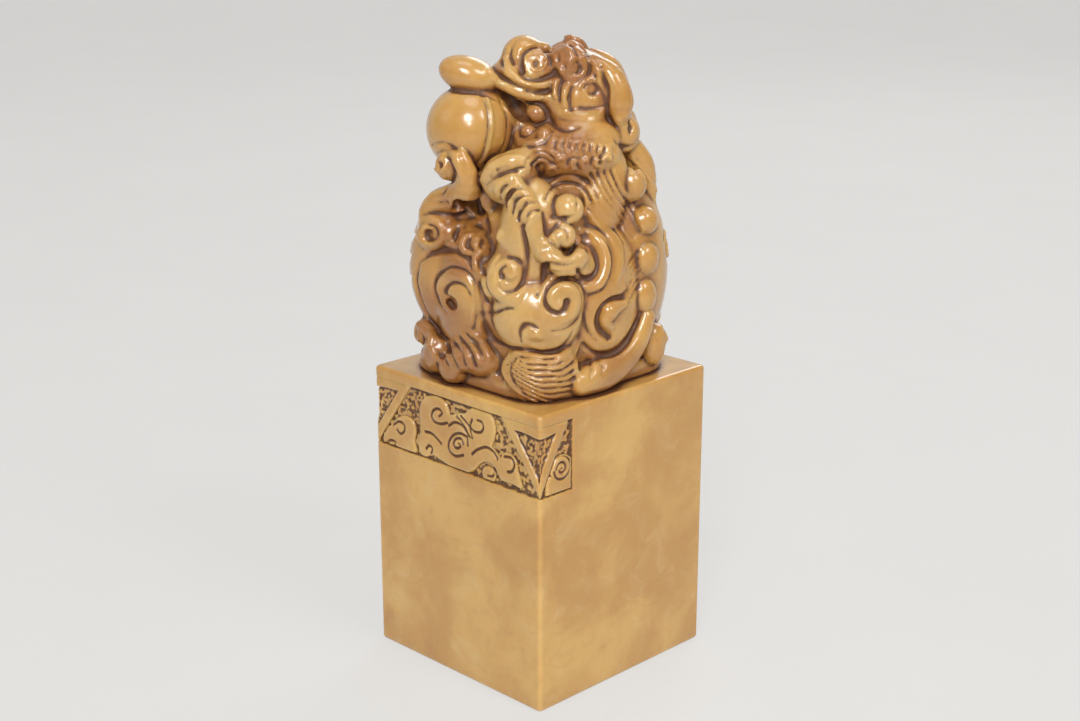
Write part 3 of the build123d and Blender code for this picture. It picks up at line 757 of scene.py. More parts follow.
class SealSettings(bpy.types.PropertyGroup):
    """Sizes that the whole stamp shares."""

    pitch: bpy.props.FloatProperty(
        name="Carving pitch",
        description="Spacing of the carving's net of quads, in millimetres",
        default=0.27,
        min=0.1,
        max=1.0,
    )
    band_pitch: bpy.props.FloatProperty(
        name="Band pitch",
        description="Spacing of the carved band's grid, in millimetres",
        default=0.125,
        min=0.05,
        max=1.0,
    )
    honey: bpy.props.FloatVectorProperty(
        name="Honey",
        description="Main colour of the stone",
        subtype="COLOR",
        size=3,
        min=0.0,
        max=1.0,
        default=(0.52, 0.27, 0.06),
    )
    pale_honey: bpy.props.FloatVectorProperty(
        name="Pale honey",
        description="Colour of the stone's lighter clouds",
        subtype="COLOR",
        size=3,
        min=0.0,
        max=1.0,
        default=(0.64, 0.378, 0.102),
    )
    # Brown of the broad hollows' wash: partly the stone's aged brown, partly painted shade.
    patina_and_shade: bpy.props.FloatVectorProperty(
        name="Patina_and_shade",
        description="Brown that lies in the broad hollows",
        subtype="COLOR",
        size=3,
        min=0.0,
        max=1.0,
        default=(0.30, 0.105, 0.022),
    )
    stain: bpy.props.FloatVectorProperty(
        name="Stain",
        description="Dark brown that lies in the cuts",
        subtype="COLOR",
        size=3,
        min=0.0,
        max=1.0,
        default=(0.085, 0.026, 0.009),
    )
    crease: bpy.props.FloatProperty(
        name="Crease",
        description="Width over which neighbouring forms run into each other, in millimetres",
        default=0.45,
        min=0.1,
        max=2.0,
    )
    backdrop: bpy.props.FloatVectorProperty(
        name="Backdrop",
        description="Colour of the pale studio floor",
        subtype="COLOR",
        default=(0.78, 0.77, 0.75),
        min=0.0,
        max=1.0,
    )


def settings():
    """The sizes and colours that the stamp shares."""
    return bpy.context.scene.seal_settings


class SEAL_OT_rough_out(bpy.types.Operator):
    """Rough out the trunk, its limbs and its plinth"""

    bl_idname = "seal.rough_out"
    bl_label = "Rough out the beast"

    def execute(self, context):
        work = Stone(settings().pitch)
        STONE["work"] = work
        self.plinth(work)
        self.trunk(work)
        self.limbs(work)
        return {"FINISHED"}

    def plinth(self, work):
        """The rock that the carving stands on."""
        part, s, t, z = work.window((-20, -20, 50), (20, 20, 60))
        x, y = (s + t) * ROOT_HALF, (s - t) * ROOT_HALF
        half, corner = 16.8, 8.0
        gap_x, gap_y = np.abs(x) - (half - corner), np.abs(y) - (half - corner)
        flat = np.sqrt(np.maximum(gap_x, 0) ** 2 + np.maximum(gap_y, 0) ** 2) - corner
        lumps = 0.8 * np.sin(x * 0.7 + 1) * np.sin(y * 0.8) + 0.5 * np.sin(x * 1.9) * np.sin(y * 1.7 + 2)
        work.add("rock_base", part, -smooth_least(-flat, 54.6 + lumps - z, 2.0), 0.4)

    def trunk(self, work):
        """The upright body with its rump, chest and far flank."""
        level = (54.0, 60.0, 66.0, 72.0, 78.5, 85.8, 91.3)
        half = (15.6, 15.9, 15.6, 14.9, 13.0, 9.6, 6.2)
        corner = (8.0, 8.6, 9.0, 9.2, 8.8, 6.8, 4.4)
        shift = (0, 0, 0, 0.2, 0.8, 2.4, 4.0)
        part, s, t, z = work.window((-20, -20, 50), (20, 20, 94))
        back = np.interp(z, level, shift)
        x, y = (s - back + t) * ROOT_HALF, (s - back - t) * ROOT_HALF
        flat_half = np.interp(z, level, half) - np.interp(z, level, corner)
        gap_x, gap_y = np.abs(x) - flat_half, np.abs(y) - flat_half
        flat = np.sqrt(np.maximum(gap_x, 0) ** 2 + np.maximum(gap_y, 0) ** 2) - np.interp(z, level, corner)
        crown = np.clip(1 - (np.minimum(np.abs(x), np.abs(y)) / 9) ** 2, 0, 1)
        flat = flat - 1.4 * np.clip(-t / 4, 0, 1) * crown
        work.add("body", part, -smooth_least(-0.93 * flat, 91.3 - z, 3.0), settings().crease)
        work.egg("rump", (12.4, 0, 68.4), (9.5, 9, 16.5), turn=90)
        work.egg("chest", (-12.8, 1.2, 69.0), (9, 9, 13), turn=-90)
        work.egg("chest", (-8.8, 5.0, 82.6), (4.6, 4.2, 5.0), turn=-60, blend=0.8)
        work.egg("far_flank", (0, -14.8, 69.5), (8.4, 6.4, 13.5), turn=180)

    def limbs(self, work):
        """Haunches, forelegs, feet, spine beads and hair."""
        for name, side in (("near", 1), ("far", -1)):
            work.egg(f"{name}_haunch", (9.5, side * 9.5, 65.1), (8.8, 5.3, 13), turn=faced(45, side))
            work.egg(f"{name}_foreleg", (-11.2, side * 8.5, 65.8), (7.6, 5.2, 11.4), turn=faced(-53, side))
            work.egg(f"{name}_paw", (-9.4, side * 12.6, 56.2), (4.8, 3.8, 3.0), turn=faced(-33, side))
            foot = [
                (17.9, side * 8.4, 61.6),
                (17.0, side * 9.4, 59.0),
                (15.6, side * 10.6, 57.0),
                (13.2, side * 12.8, 54.9),
                (10.0, side * 15.2, 53.9),
                (6.6, side * 17.4, 53.4),
            ]
            foot = smooth_line(foot, 1.0)
            work.tube(f"{name}_hind_foot", foot, taper(foot, (0, 0.3, 0.7, 1), (1.7, 2.3, 2.8, 2.3)))
        for place, length in (
            ((14.8, 6.6, 83.6), 1.15),
            ((16.9, 5.6, 77.4), 1.0),
            ((17.2, 6.6, 71.3), 1.15),
            ((17.0, 7.5, 65.2), 1.25),
            ((18.7, 4.6, 56.2), 1.5),
        ):
            work.egg("spine_beads", place, (2.45, 2.4, 2.45 * length), blend=0.25)
        lock = smooth_line([(13.6, 3.0, 90.6), (15.8, 2.2, 87.4), (17.6, 1.4, 83.0), (18.6, 0.8, 79.0)], 1.0)
        work.tube("back_lock", lock, taper(lock, (0, 0.4, 1), (1.6, 2.3, 0.6)))
        work.egg("hair_fan", (10.0, 8.3, 81.6), (4.2, 3.2, 8.6), turn=36, roll=16)
        work.egg("far_hair_fan", (11.2, -8.4, 82.1), (4.4, 3.4, 9), turn=140, roll=-18)
        self.tuft(work)

    def tuft(self, work):
        """Fan of ribs at the front corner, which draws together at its left."""
        part, s, t, z = work.window((4, -19, 50.5), (19, -4, 61))
        rise = np.clip((z - BLOCK_TOP) / 8.2, 0, 1)
        sag = 0.7 * (1 - (s / 4.7) ** 2)
        wander = 0.14 * np.sin(1.3 * s + 0.9 * z)
        drop = BLOCK_TOP + 8.0 - z - sag + wander
        ribs = np.abs(np.sin(math.pi * 9 * drop / (0.45 * (s + 6.5) + 5)))
        profile = 4.7 + 1.0 * np.sin(math.pi * rise) + 0.6 * ribs
        around = np.sqrt(s ** 2 + (t - 15.9) ** 2) - profile
        work.add("tail_tuft", part, -smooth_least(-around, BLOCK_TOP + 8.3 - z, 0.8), 0.3)


class SEAL_OT_head(bpy.types.Operator):
    """Rough out the beast's head, the ball that it guards and the scrolls that hold it"""

    bl_idname = "seal.head"
    bl_label = "Rough out the head and ball"

    def execute(self, context):
        work = stone()
        work.egg("skull", (5.8, 0.2, 96.2), (8.4, 7.6, 8.4))
        work.egg("muzzle", (-1.4, 0.8, 99.4), (6.8, 5.8, 4.4), roll=10)
        work.egg("muzzle", (-6.2, 0.8, 99.2), (2.6, 4.0, 2.6), blend=1.2)
        work.egg("muzzle", (-2.6, 0.6, 103.4), (3.6, 3.4, 3.4), blend=1.0)
        work.egg("lower_jaw", (1.4, 2.2, 89.4), (7.6, 8.2, 4.4))
        work.egg("lower_jaw", (-1.6, 1.0, 93.4), (5.4, 5.2, 5.0), blend=0.8)
        work.egg("beard", (4.4, 7.6, 88.8), (8.6, 5.4, 4.6))
        work.egg("beard", (6.4, 6.8, 91.2), (6.4, 4.0, 3.6), blend=1.2)
        work.egg("beard", (0.6, 8.6, 89.6), (3.4, 3.4, 2.8), blend=0.8)
        work.egg("tongue", (-0.6, 6.0, 95.0), (1.8, 1.7, 1.6))
        for aside in (4.2, 0.4, -3.4):
            work.egg("brow_tufts", (4.6, aside, 103.0), (3.4, 2.5, 2.5))
        work.egg("near_nostril", (-0.6, 4.2, 102.2), (3.0, 2.0, 2.8), lean=-35)
        for name, side in (("near", 1), ("far", -1)):
            ear = smooth_line([(8.6, side * 4.4, 103.0), (11.0, side * 5.2, 101.0), (12.6, side * 5.8, 97.6),
                               (12.7, side * 5.6, 94.2)], 0.8)
            work.tube(f"{name}_ear", ear, taper(ear, (0, 0.4, 0.75, 1), (1.2, 2.2, 2.3, 1.7)), 0.3)
            work.egg(f"{name}_cheek", (13.0, side * 4.2, 91.6), (3.2, 3.2, 3.4))
        work.egg("ball", BALL_MIDDLE, (BALL_RADIUS, BALL_RADIUS, BALL_RADIUS), blend=0.2)
        work.egg("ball_lobe", (-11.4, 4.0, 100.8), (5.0, 3.4, 3.0), roll=18, blend=0.25)
        stem = smooth_line(
            [(-12.6, 10.6, 89.0), (-11.6, 10.8, 86.2), (-11.8, 9.6, 83.2), (-13.8, 7.6, 81.6),
             (-16.4, 6.0, 80.6), (-18.0, 5.2, 78.6), (-18.2, 5.6, 76.4)], 1.0
        )
        work.tube("hook_scroll", stem, taper(stem, (0, 0.3, 0.5, 1), (1.2, 2.3, 2.5, 1.6)))
        work.egg("hook_scroll", (-14.6, 8.4, 87.0), (2.2, 2.0, 2.5))
        work.egg("shoulder_scroll", (-16.4, 5.2, 75.8), (4.4, 3.2, 4.6), turn=-55)
        work.egg("base_scrolls", (-16.8, 6.8, 55.2), (2.9, 2.7, 3.4))
        work.egg("base_scrolls", (-14.2, 10.4, 53.6), (2.9, 2.7, 2.6))
        work.egg("base_scrolls", (-18.0, 3.4, 58.0), (2.6, 2.4, 3.2))
        return {"FINISHED"}


class SEAL_OT_cub(bpy.types.Operator):
    """Rough out the cub that climbs the front corner"""

    bl_idname = "seal.cub"
    bl_label = "Rough out the cub"

    def execute(self, context):
        work = stone()
        work.egg("cub_body", (-1.0, 13.6, 74.6), (5.9, 5.6, 11.5))
        work.egg("cub_body", (-4.6, 15.2, 70.2), (4.2, 4.4, 4.8), blend=1.0)
        work.egg("cub_head", (-4.8, 11.4, 85.4), (4.6, 4.4, 4.2), turn=-20)
        work.egg("cub_head", (-4.0, 12.4, 88.6), (3.4, 2.4, 1.7), roll=-18, blend=0.3)
        work.egg("cub_haunch", (-0.4, 16.4, 64.5), (7.2, 5.2, 6.8))
        work.egg("cub_haunch", (2.8, 17.6, 67.2), (4.2, 3.8, 4.2), blend=0.8)
        arm = smooth_line([(1.4, 18.4, 76.6), (2.6, 18.8, 73.4), (4.8, 18.6, 72.6), (6.6, 17.8, 74.0)], 1.0)
        work.tube("cub_arm", arm, taper(arm, (0, 0.5, 1), (1.8, 1.5, 1.1)))
        work.egg("cub_locks", (4.4, 15.8, 81.4), (2.5, 2.4, 2.5), blend=0.3)
        work.egg("cub_locks", (3.5, 17.0, 77.4), (2.2, 2.1, 2.2), blend=0.3)
        work.egg("cub_locks", (6.0, 15.4, 72.4), (2.0, 2.4, 2.4), blend=0.3)
        return {"FINISHED"}


class SEAL_OT_marks(bpy.types.Operator):
    """Carve the rolls, whorls, hair and claws that the photograph shows, and their like on the far side"""

    bl_idname = "seal.marks"
    bl_label = "Carve the marks"

    def execute(self, context):
        work = stone()
        work.trim(BLOCK_HALF - 0.3, 2.4)
        self.undercuts(work)
        for pearl in ((-1.9, 7.8, 92.3), (0.7, 10.3, 92.3)):
            work.egg("tongue", pearl, (1.2, 1.2, 1.2), blend=0.15)
        self.leg_marks(work)
        self.cub_marks(work)
        self.flank_marks(work)
        self.head_marks(work)
        self.ball_marks(work)
        self.far_marks(work)
        return {"FINISHED"}

    def undercuts(self, work):
        """Deep cuts under the scroll and in the mouth."""
        hole = [(350, 318), (392, 298), (430, 292), (458, 325)]
        work.mark(BODY_PART, hole, 1.8, -1.7, ends=(0.5, 1.0, 1.0, 0.6))
        mouth = [(515, 440), (570, 505), (640, 585), (700, 650)]
        work.mark(HEAD_PART, mouth, 1.35, -1.5, ends=(0.4, 0.9, 1.1, 0.7), both=True)

    def leg_marks(self, work):
        """Rolls, claws and locks of the limbs, on both sides."""
        both = {"both": True}
        part = BODY_PART
        work.mark(part, [(150, 590), (215, 545), (300, 522), (375, 540), (435, 600), (475, 690), (505, 790)],
                  0.75, -0.9, ends=(0.4, 1, 1, 1, 0.7), **both)
        work.mark(part, [(322, 806), (290, 780), (280, 735), (300, 692), (345, 676), (392, 700), (420, 760)],
                  0.95, -0.85, ends=(1.3, 1.0, 0.9, 0.8, 0.3), **both)
        work.mark(part, [(300, 850), (256, 805), (238, 745), (242, 690), (275, 645), (330, 625), (390, 642),
                         (432, 690), (448, 750)], 0.72, -0.9, ends=(0.3, 0.8, 1, 1, 1, 0.4), **both)
        work.mark(part, [(300, 770), (262, 745), (262, 700), (290, 662), (340, 652), (395, 672), (428, 730)],
                  1.25, 0.5, ends=(0.3, 0.8, 1, 1, 0.4), **both)
        work.mark(part, [(150, 600), (135, 690), (160, 790), (205, 880), (262, 960), (330, 1010)],
                  0.7, -0.9, ends=(0.4, 1, 1, 1, 0.5), **both)
        work.mark(part, [(308, 794), (318, 806), (326, 816)], 0.62, -1.6, ends=(1, 1, 1), **both)
        work.mark(part, [(448, 770), (455, 850), (440, 920), (410, 960)], 0.7, -0.9, **both)
        for claw in (
            [(350, 985), (385, 1030), (410, 1085), (425, 1130)],
            [(385, 965), (425, 1010), (452, 1062), (470, 1108)],
            [(415, 950), (465, 990), (497, 1040), (515, 1085)],
            [(330, 1010), (352, 1060), (372, 1105), (380, 1145)],
        ):
            work.mark(part, claw, 1.0, 0.75, ends=(0.6, 1.0, 1.0, 0.7), **both)
        for gap in (
            [(372, 985), (410, 1035), (438, 1095), (450, 1130)],
            [(402, 962), (448, 1010), (478, 1065)],
            [(345, 1010), (375, 1062), (395, 1120)],
        ):
            work.mark(part, gap, 0.42, -0.9, ends=(0.4, 1, 0.7), **both)
        for lock in (
            [(345, 385), (322, 415), (310, 455), (305, 495)],
            [(432, 440), (396, 455), (380, 490), (392, 528), (424, 540)],
            [(485, 430), (458, 455), (455, 500), (478, 528), (505, 535)],
            [(505, 500), (472, 540), (455, 585), (472, 612), (500, 605)],
            [(438, 555), (452, 612), (472, 665), (500, 705)],
            [(478, 645), (500, 700), (515, 745), (530, 785)],
            [(395, 380), (372, 400), (362, 435)],
            [(462, 380), (430, 385), (412, 410)],
        ):
            work.mark(part, lock, 0.85, 0.8, ends=(0.5, 1.0, 1.0, 0.45), **both)
        for gap in (
            [(365, 400), (345, 440), (335, 490)],
            [(410, 470), (405, 500), (430, 520)],
            [(485, 470), (475, 500), (500, 512)],
            [(492, 545), (478, 575), (490, 590)],
            [(460, 560), (475, 610), (500, 655)],
        ):
            work.mark(part, gap, 0.5, -1.0, ends=(0.5, 1, 0.5), **both)
        work.whorl(part, (206, 438), 78, 20, -120, 1.35, 1.15, 0.7, ends=(0.6, 1.0, 1.0, 0.8), **both)
        work.whorl(part, (208, 440), 48, 6, -100, 1.0, 0.6, -1.0, ends=(0.6, 1.0, 1.2), **both)
        work.whorl(part, (185, 1085), 75, 22, 180, 1.2, 1.0, 0.7, **both)
        work.mark(part, [(120, 930), (160, 905), (205, 935), (218, 985), (200, 1030)], 1.0, 0.8, **both)
        work.mark(part, [(262, 1100), (300, 1082), (338, 1105), (348, 1150), (330, 1192)], 1.0, 0.8, **both)
        work.mark(part, [(235, 1040), (262, 1065), (300, 1125)], 0.6, -1.0, **both)

    def cub_marks(self, work):
        """The cub's back, mane, face, hip and foot."""
        part = BODY_PART
        # The pale ridge of the back, which ends in the hooked arm.
        work.mark(part, [(640, 150), (690, 220), (728, 310), (748, 400), (765, 480), (790, 545), (845, 575),
                         (910, 590), (965, 565), (990, 520), (975, 475)], 1.55, 0.62,
                  ends=(0.7, 1.0, 1.05, 1.0, 0.8, 0.6))
        work.mark(part, [(990, 580), (940, 600), (880, 606), (812, 604), (806, 650), (798, 700), (770, 760)],
                  0.6, -1.0, ends=(0.4, 1, 1, 1, 0.5))
        work.mark(part, [(668, 330), (688, 400), (706, 480), (716, 560), (712, 630), (688, 700), (640, 760)],
                  0.55, -0.9, ends=(0.3, 1, 1, 1, 0.4))
        work.mark(part, [(800, 330), (815, 400), (835, 470), (870, 510), (920, 520)], 0.6, -1.0)
        for strand in (
            [(560, 250), (562, 205), (590, 172), (628, 166)],
            [(592, 285), (598, 232), (628, 195), (668, 186)],
            [(622, 318), (634, 262), (668, 222), (708, 216)],
            [(655, 352), (668, 300), (700, 256), (742, 250)],
            [(688, 385), (700, 335), (728, 296), (768, 292)],
            [(712, 412), (724, 372), (748, 338), (782, 336)],
        ):
            work.mark(part, strand, 0.8, 0.6, ends=(0.3, 1.0, 1.0, 0.4))
        for strand in (
            [(578, 262), (582, 220), (608, 186), (645, 178)],
            [(608, 298), (618, 245), (648, 208), (688, 202)],
            [(640, 332), (652, 280), (684, 240), (725, 234)],
            [(672, 366), (685, 315), (714, 276), (755, 272)],
            [(700, 400), (712, 352), (738, 318), (776, 314)],
        ):
            work.mark(part, strand, 0.4, -1.0, ends=(0.3, 1.0, 1.0, 0.4))
        work.mark(part, [(480, 160), (510, 115), (565, 78), (640, 58), (700, 62), (722, 88), (690, 112)],
                  1.35, 0.6, ends=(0.5, 1, 1, 0.8, 0.5))
        work.mark(part, [(500, 190), (545, 145), (600, 118), (660, 108)], 0.55, -1.0)
        work.mark(part, [(520, 140), (560, 105), (610, 88)], 0.45, -1.0)
        work.whorl(part, (512, 330), 30, 8, 0, 1.2, 0.7, 0.7)
        work.mark(part, [(470, 200), (462, 260), (480, 330), (505, 380), (520, 430)], 0.8, -1.0)
        work.mark(part, [(560, 420), (585, 440), (570, 470)], 1.5, 0.7)
        # Curl at the cub's shoulder.
        work.mark(part, [(560, 560), (535, 620), (532, 690), (560, 745), (612, 778), (665, 765), (700, 722)],
                  1.25, 0.6, ends=(0.4, 0.8, 1, 1, 0.9, 0.4))
        work.mark(part, [(548, 700), (556, 640), (590, 596), (632, 600), (652, 636), (640, 672), (610, 676)],
                  0.9, 0.55, ends=(0.4, 0.9, 1, 0.8))
        work.mark(part, [(668, 668), (634, 690), (592, 672), (576, 632), (600, 606)], 0.55, -1.05,
                  ends=(0.4, 1, 1, 0.7))
        work.mark(part, [(700, 640), (690, 600), (660, 570), (620, 560)], 0.5, -1.0)
        # Curl at the cub's hip.
        work.mark(part, [(930, 800), (915, 838), (880, 856), (838, 836), (808, 785), (820, 728), (868, 686),
                         (930, 670), (985, 690)], 0.58, -1.05, ends=(1.5, 1, 1, 1, 1, 0.4))
        work.mark(part, [(895, 800), (872, 822), (846, 800), (842, 758), (876, 722), (930, 714), (972, 748),
                         (978, 812), (950, 872), (892, 905)], 1.05, 0.45, ends=(0.4, 0.8, 1, 1, 1, 0.3))
        work.mark(part, [(792, 800), (796, 730), (826, 680), (880, 650), (945, 645)], 0.8, 0.5)
        work.mark(part, [(1010, 720), (1014, 800), (988, 880), (925, 935), (850, 948)], 0.5, -0.9)
        # Folds at the cub's foot.
        work.mark(part, [(690, 1010), (680, 950), (712, 915), (760, 926), (782, 952)], 0.6, -1.05)
        work.mark(part, [(735, 975), (768, 965), (790, 985)], 1.0, 0.7)
        work.mark(part, [(715, 1020), (790, 1052), (880, 1045), (935, 995), (958, 945)], 0.6, -1.0)
        work.mark(part, [(700, 960), (712, 1010), (780, 1030), (865, 1022), (915, 980)], 1.1, 0.35)
        for fold in ([(880, 1085), (935, 1050), (970, 990)], [(905, 1105), (955, 1065), (990, 1000)]):
            work.mark(part, fold, 0.7, 0.7)
        work.mark(part, [(480, 860), (540, 850), (600, 832), (640, 828)], 0.5, -1.0)
        work.mark(part, [(470, 700), (478, 800), (490, 900), (540, 990), (620, 1030), (690, 1040)],
                  0.75, -1.0)
        # Head of curls beside the back.
        for curl in (
            [(862, 205), (905, 178), (960, 178), (1010, 210), (1028, 270), (1015, 330)],
            [(872, 232), (915, 205), (962, 208), (995, 242), (1002, 292)],
        ):
            work.mark(part, curl, 0.75, 0.7, ends=(0.4, 1, 1, 0.4))
        work.mark(part, [(868, 220), (912, 192), (965, 194), (1006, 228), (1016, 290)], 0.4, -1.0)
        work.mark(part, [(880, 250), (925, 226), (968, 236), (982, 280), (975, 330)], 0.45, -1.0)
        work.mark(part, [(845, 350), (880, 362), (925, 360), (965, 345)], 0.6, -1.0)
        work.mark(part, [(840, 420), (848, 380), (885, 372), (905, 395)], 0.5, 0.8)
        work.whorl(part, (885, 455), 58, 44, -160, 0.8, 0.45, -1.0)

    def flank_marks(self, work):
        """The near flank, the hair on the back and the leaf at the base."""
        part = BODY_PART
        work.mark(part, [(995, 420), (1050, 430), (1108, 490), (1135, 570), (1122, 660), (1075, 715),
                  (1020, 718)],
                  1.2, 0.65, ends=(0.4, 1, 1, 1, 0.5))
        work.mark(part, [(1000, 478), (1045, 500), (1078, 560), (1076, 630), (1040, 672), (995, 660),
                  (982, 625)],
                  0.5, -1.0, ends=(0.4, 1, 1, 1, 0.8))
        work.mark(part, [(1005, 520), (1036, 545), (1052, 590), (1042, 632), (1010, 640)], 0.95, 0.6)
        work.mark(part, [(1060, 420), (1130, 470), (1165, 560), (1155, 660), (1110, 730), (1040, 760)],
                  0.5, -0.9, ends=(0.3, 1, 1, 0.3))
        work.mark(part, [(1060, 370), (1130, 415), (1190, 500), (1205, 600), (1180, 700)], 1.5, 0.35)
        both = {"both": True}
        work.mark(part, [(1262, 690), (1225, 770), (1170, 790), (1118, 830), (1094, 890), (1108, 950),
                  (1150, 985)],
                  0.9, -0.9, ends=(0.3, 1, 1, 1, 0.8), **both)
        work.mark(part, [(1240, 800), (1185, 815), (1140, 850), (1130, 900), (1160, 930)], 1.7, 0.6, **both)
        work.mark(part, [(1010, 1010), (1070, 1062), (1150, 1068), (1222, 1020), (1262, 950), (1290, 890)],
                  0.7, -0.95, ends=(0.4, 1, 1, 0.6), **both)
        work.mark(part, [(1010, 860), (1030, 940), (1080, 1000)], 0.5, -0.8, **both)
        hair = {"ends": (0.5, 1.0, 0.8, 0.3), "both": True}
        work.fan(part, [(1030, 125), (1090, 230), (1180, 340), (1262, 470)],
                 [(1172, 110), (1212, 200), (1268, 300), (1325, 420)], 5, 0.42, 0.7, **hair)
        work.fan(part, [(1047, 123), (1105, 226), (1191, 335), (1268, 462)],
                 [(1155, 112), (1197, 204), (1257, 305), (1310, 430)], 4, 0.28, -1.0, **hair)
        work.fan(part, [(1010, 190), (1080, 290), (1160, 390), (1225, 480)],
                 [(1040, 330), (1085, 380), (1150, 450), (1215, 540)], 4, 0.42, 0.7, **hair)
        work.fan(part, [(1015, 214), (1081, 305), (1158, 400), (1223, 490)],
                 [(1035, 306), (1084, 365), (1152, 440), (1217, 530)], 3, 0.28, -1.0, **hair)
        work.fan(part, [(1295, 530), (1262, 580), (1235, 640)], [(1298, 710), (1272, 755), (1250, 800)],
                 6, 0.36, -1.0, **both)
        work.mark(part, [(1262, 40), (1335, 110), (1385, 185), (1420, 250)], 0.7, 0.5, **both)
        work.mark(part, [(1290, 50), (1355, 120), (1410, 205)], 0.4, -1.0, **both)
        work.mark(part, [(1240, 50), (1310, 130), (1365, 215)], 0.45, -1.0, **both)
        work.mark(part, [(980, 1085), (965, 1130), (985, 1180)], 0.8, 0.8)
        leaf = [(690, 1290), (632, 1225), (596, 1160), (604, 1105), (650, 1062), (715, 1058)]
        work.mark(part, leaf, 0.75, 0.55)
        vein = [(705, 1278), (655, 1222), (624, 1165), (630, 1118), (668, 1086), (720, 1080)]
        work.mark(part, vein, 0.42, -1.0)
        for toe in ([(1030, 1100), (1052, 1140), (1050, 1190)], [(1085, 1092), (1112, 1128), (1112, 1172)]):
            work.mark(part, toe, 0.4, -0.9, **both)

    def head_marks(self, work):
        """Snout, nostril, brow, ear and cheek."""
        part = HEAD_PART
        both = {"both": True}
        work.mark(part, [(935, 618), (1000, 628), (1080, 632), (1160, 622), (1215, 600)], 2.4, 0.26,
                  ends=(0.7, 1, 1, 0.7), **both)
        work.mark(part, [(560, 250), (566, 315), (598, 372), (660, 412), (740, 428), (820, 420), (885, 398)],
                  1.25, 0.62, ends=(0.6, 0.9, 1.1, 1.2, 0.8, 0.4), **both)
        work.mark(part, [(445, 330), (500, 392), (570, 440), (650, 478), (740, 502), (820, 506), (880, 492)],
                  1.05, 0.7, ends=(0.6, 1, 1, 1, 0.5), **both)
        work.mark(part, [(470, 305), (530, 365), (600, 415), (680, 450), (770, 466), (850, 458)],
                  0.55, -1.0, ends=(0.5, 1, 1, 0.6), **both)
        work.mark(part, [(690, 470), (760, 480), (830, 478)], 0.35, -1.0, **both)
        work.mark(part, [(545, 222), (530, 262), (538, 320)], 0.6, -1.0, **both)
        work.mark(part, [(640, 300), (652, 345), (700, 378), (775, 386), (850, 362), (885, 330)],
                  0.6, -1.0, ends=(0.4, 1, 1, 0.6), **both)
        nostril = (765, 278)
        work.whorl(part, nostril, 92, 26, 150, 1.7, 0.8, 0.5, ends=(0.4, 1.0, 0.9, 0.7), **both)
        work.whorl(part, nostril, 114, 8, 150, 2.2, 0.46, -1.1, ends=(1.3, 1.1, 1, 1, 1.4), **both)
        work.mark(part, [(790, 150), (840, 190), (870, 240), (872, 300)], 0.9, 0.7, **both)
        work.mark(part, [(812, 130), (862, 175), (898, 235), (902, 290)], 0.5, -1.0, **both)
        work.mark(part, [(640, 120), (600, 170), (590, 230), (612, 290)], 0.45, -0.9, **both)
        for fold in ([(895, 395), (878, 440), (884, 500)], [(965, 425), (944, 480), (948, 560)]):
            work.mark(part, fold, 0.85, 0.7, ends=(0.5, 1.0, 0.5), **both)
        for fold in ([(925, 400), (908, 455), (915, 530)], [(990, 440), (975, 510), (985, 590)],
                     [(862, 420), (852, 460), (858, 510)]):
            work.mark(part, fold, 0.45, -1.0, **both)
        work.mark(part, [(700, 540), (780, 548), (826, 590), (846, 650), (905, 702), (970, 722), (1040, 700)],
                  0.6, -1.0, ends=(0.4, 1, 1, 0.4), **both)
        work.mark(part, [(540, 560), (592, 640), (628, 722), (648, 800), (700, 850)], 0.85, 0.8, **both)
        work.mark(part, [(655, 780), (700, 810), (760, 800), (820, 770)], 0.8, 0.8, **both)
        # Eye, brow and forehead tufts.
        work.mark(part, [(1040, 440), (1075, 405), (1130, 400), (1190, 430), (1215, 480)], 0.75, 0.7, **both)
        work.whorl(part, (1120, 455), 52, 16, -170, 1.1, 0.5, -1.0, **both)
        work.mark(part, [(1045, 570), (1110, 575), (1205, 562)], 0.3, -0.5, **both)
        for lock in (
            [(885, 120), (930, 112), (990, 150), (1030, 205)],
            [(930, 105), (990, 118), (1050, 165), (1085, 225)],
            [(985, 112), (1050, 145), (1105, 200), (1135, 255)],
            [(900, 170), (940, 175), (985, 215), (1000, 262)],
            [(1020, 250), (985, 262), (962, 300), (982, 335), (1018, 325)],
            [(1060, 235), (1085, 275), (1080, 330), (1045, 360)],
            [(1110, 250), (1135, 300), (1130, 355), (1100, 390)],
            [(935, 330), (962, 365), (1000, 378), (1030, 360)],
            [(1150, 300), (1175, 350), (1168, 400)],
            [(900, 300), (925, 322), (935, 360)],
        ):
            work.mark(part, lock, 0.72, 0.8, ends=(0.5, 1, 1, 0.5), **both)
        for gap in (
            [(905, 140), (955, 140), (1005, 180), (1030, 232)],
            [(960, 112), (1020, 135), (1070, 185), (1100, 240)],
            [(1030, 270), (1045, 310), (1035, 345)],
            [(1088, 250), (1108, 300), (1102, 350)],
            [(955, 270), (942, 305), (952, 345)],
        ):
            work.mark(part, gap, 0.42, -1.0, **both)
        # Ear and the curl under it.
        work.mark(part, [(1180, 300), (1200, 380), (1222, 470), (1228, 560)], 0.6, -1.1, **both)
        work.mark(part, [(1225, 560), (1222, 620), (1250, 670), (1300, 690)], 0.55, -1.0, **both)
        work.whorl(part, (1335, 650), 66, 14, -60, 1.1, 0.95, 0.6, **both)
        work.mark(part, [(1370, 665), (1382, 700), (1375, 745)], 0.55, -1.6, **both)
        work.mark(part, [(1275, 790), (1330, 830), (1390, 825), (1425, 780)], 0.5, -0.9, **both)
        self.beard_marks(work)

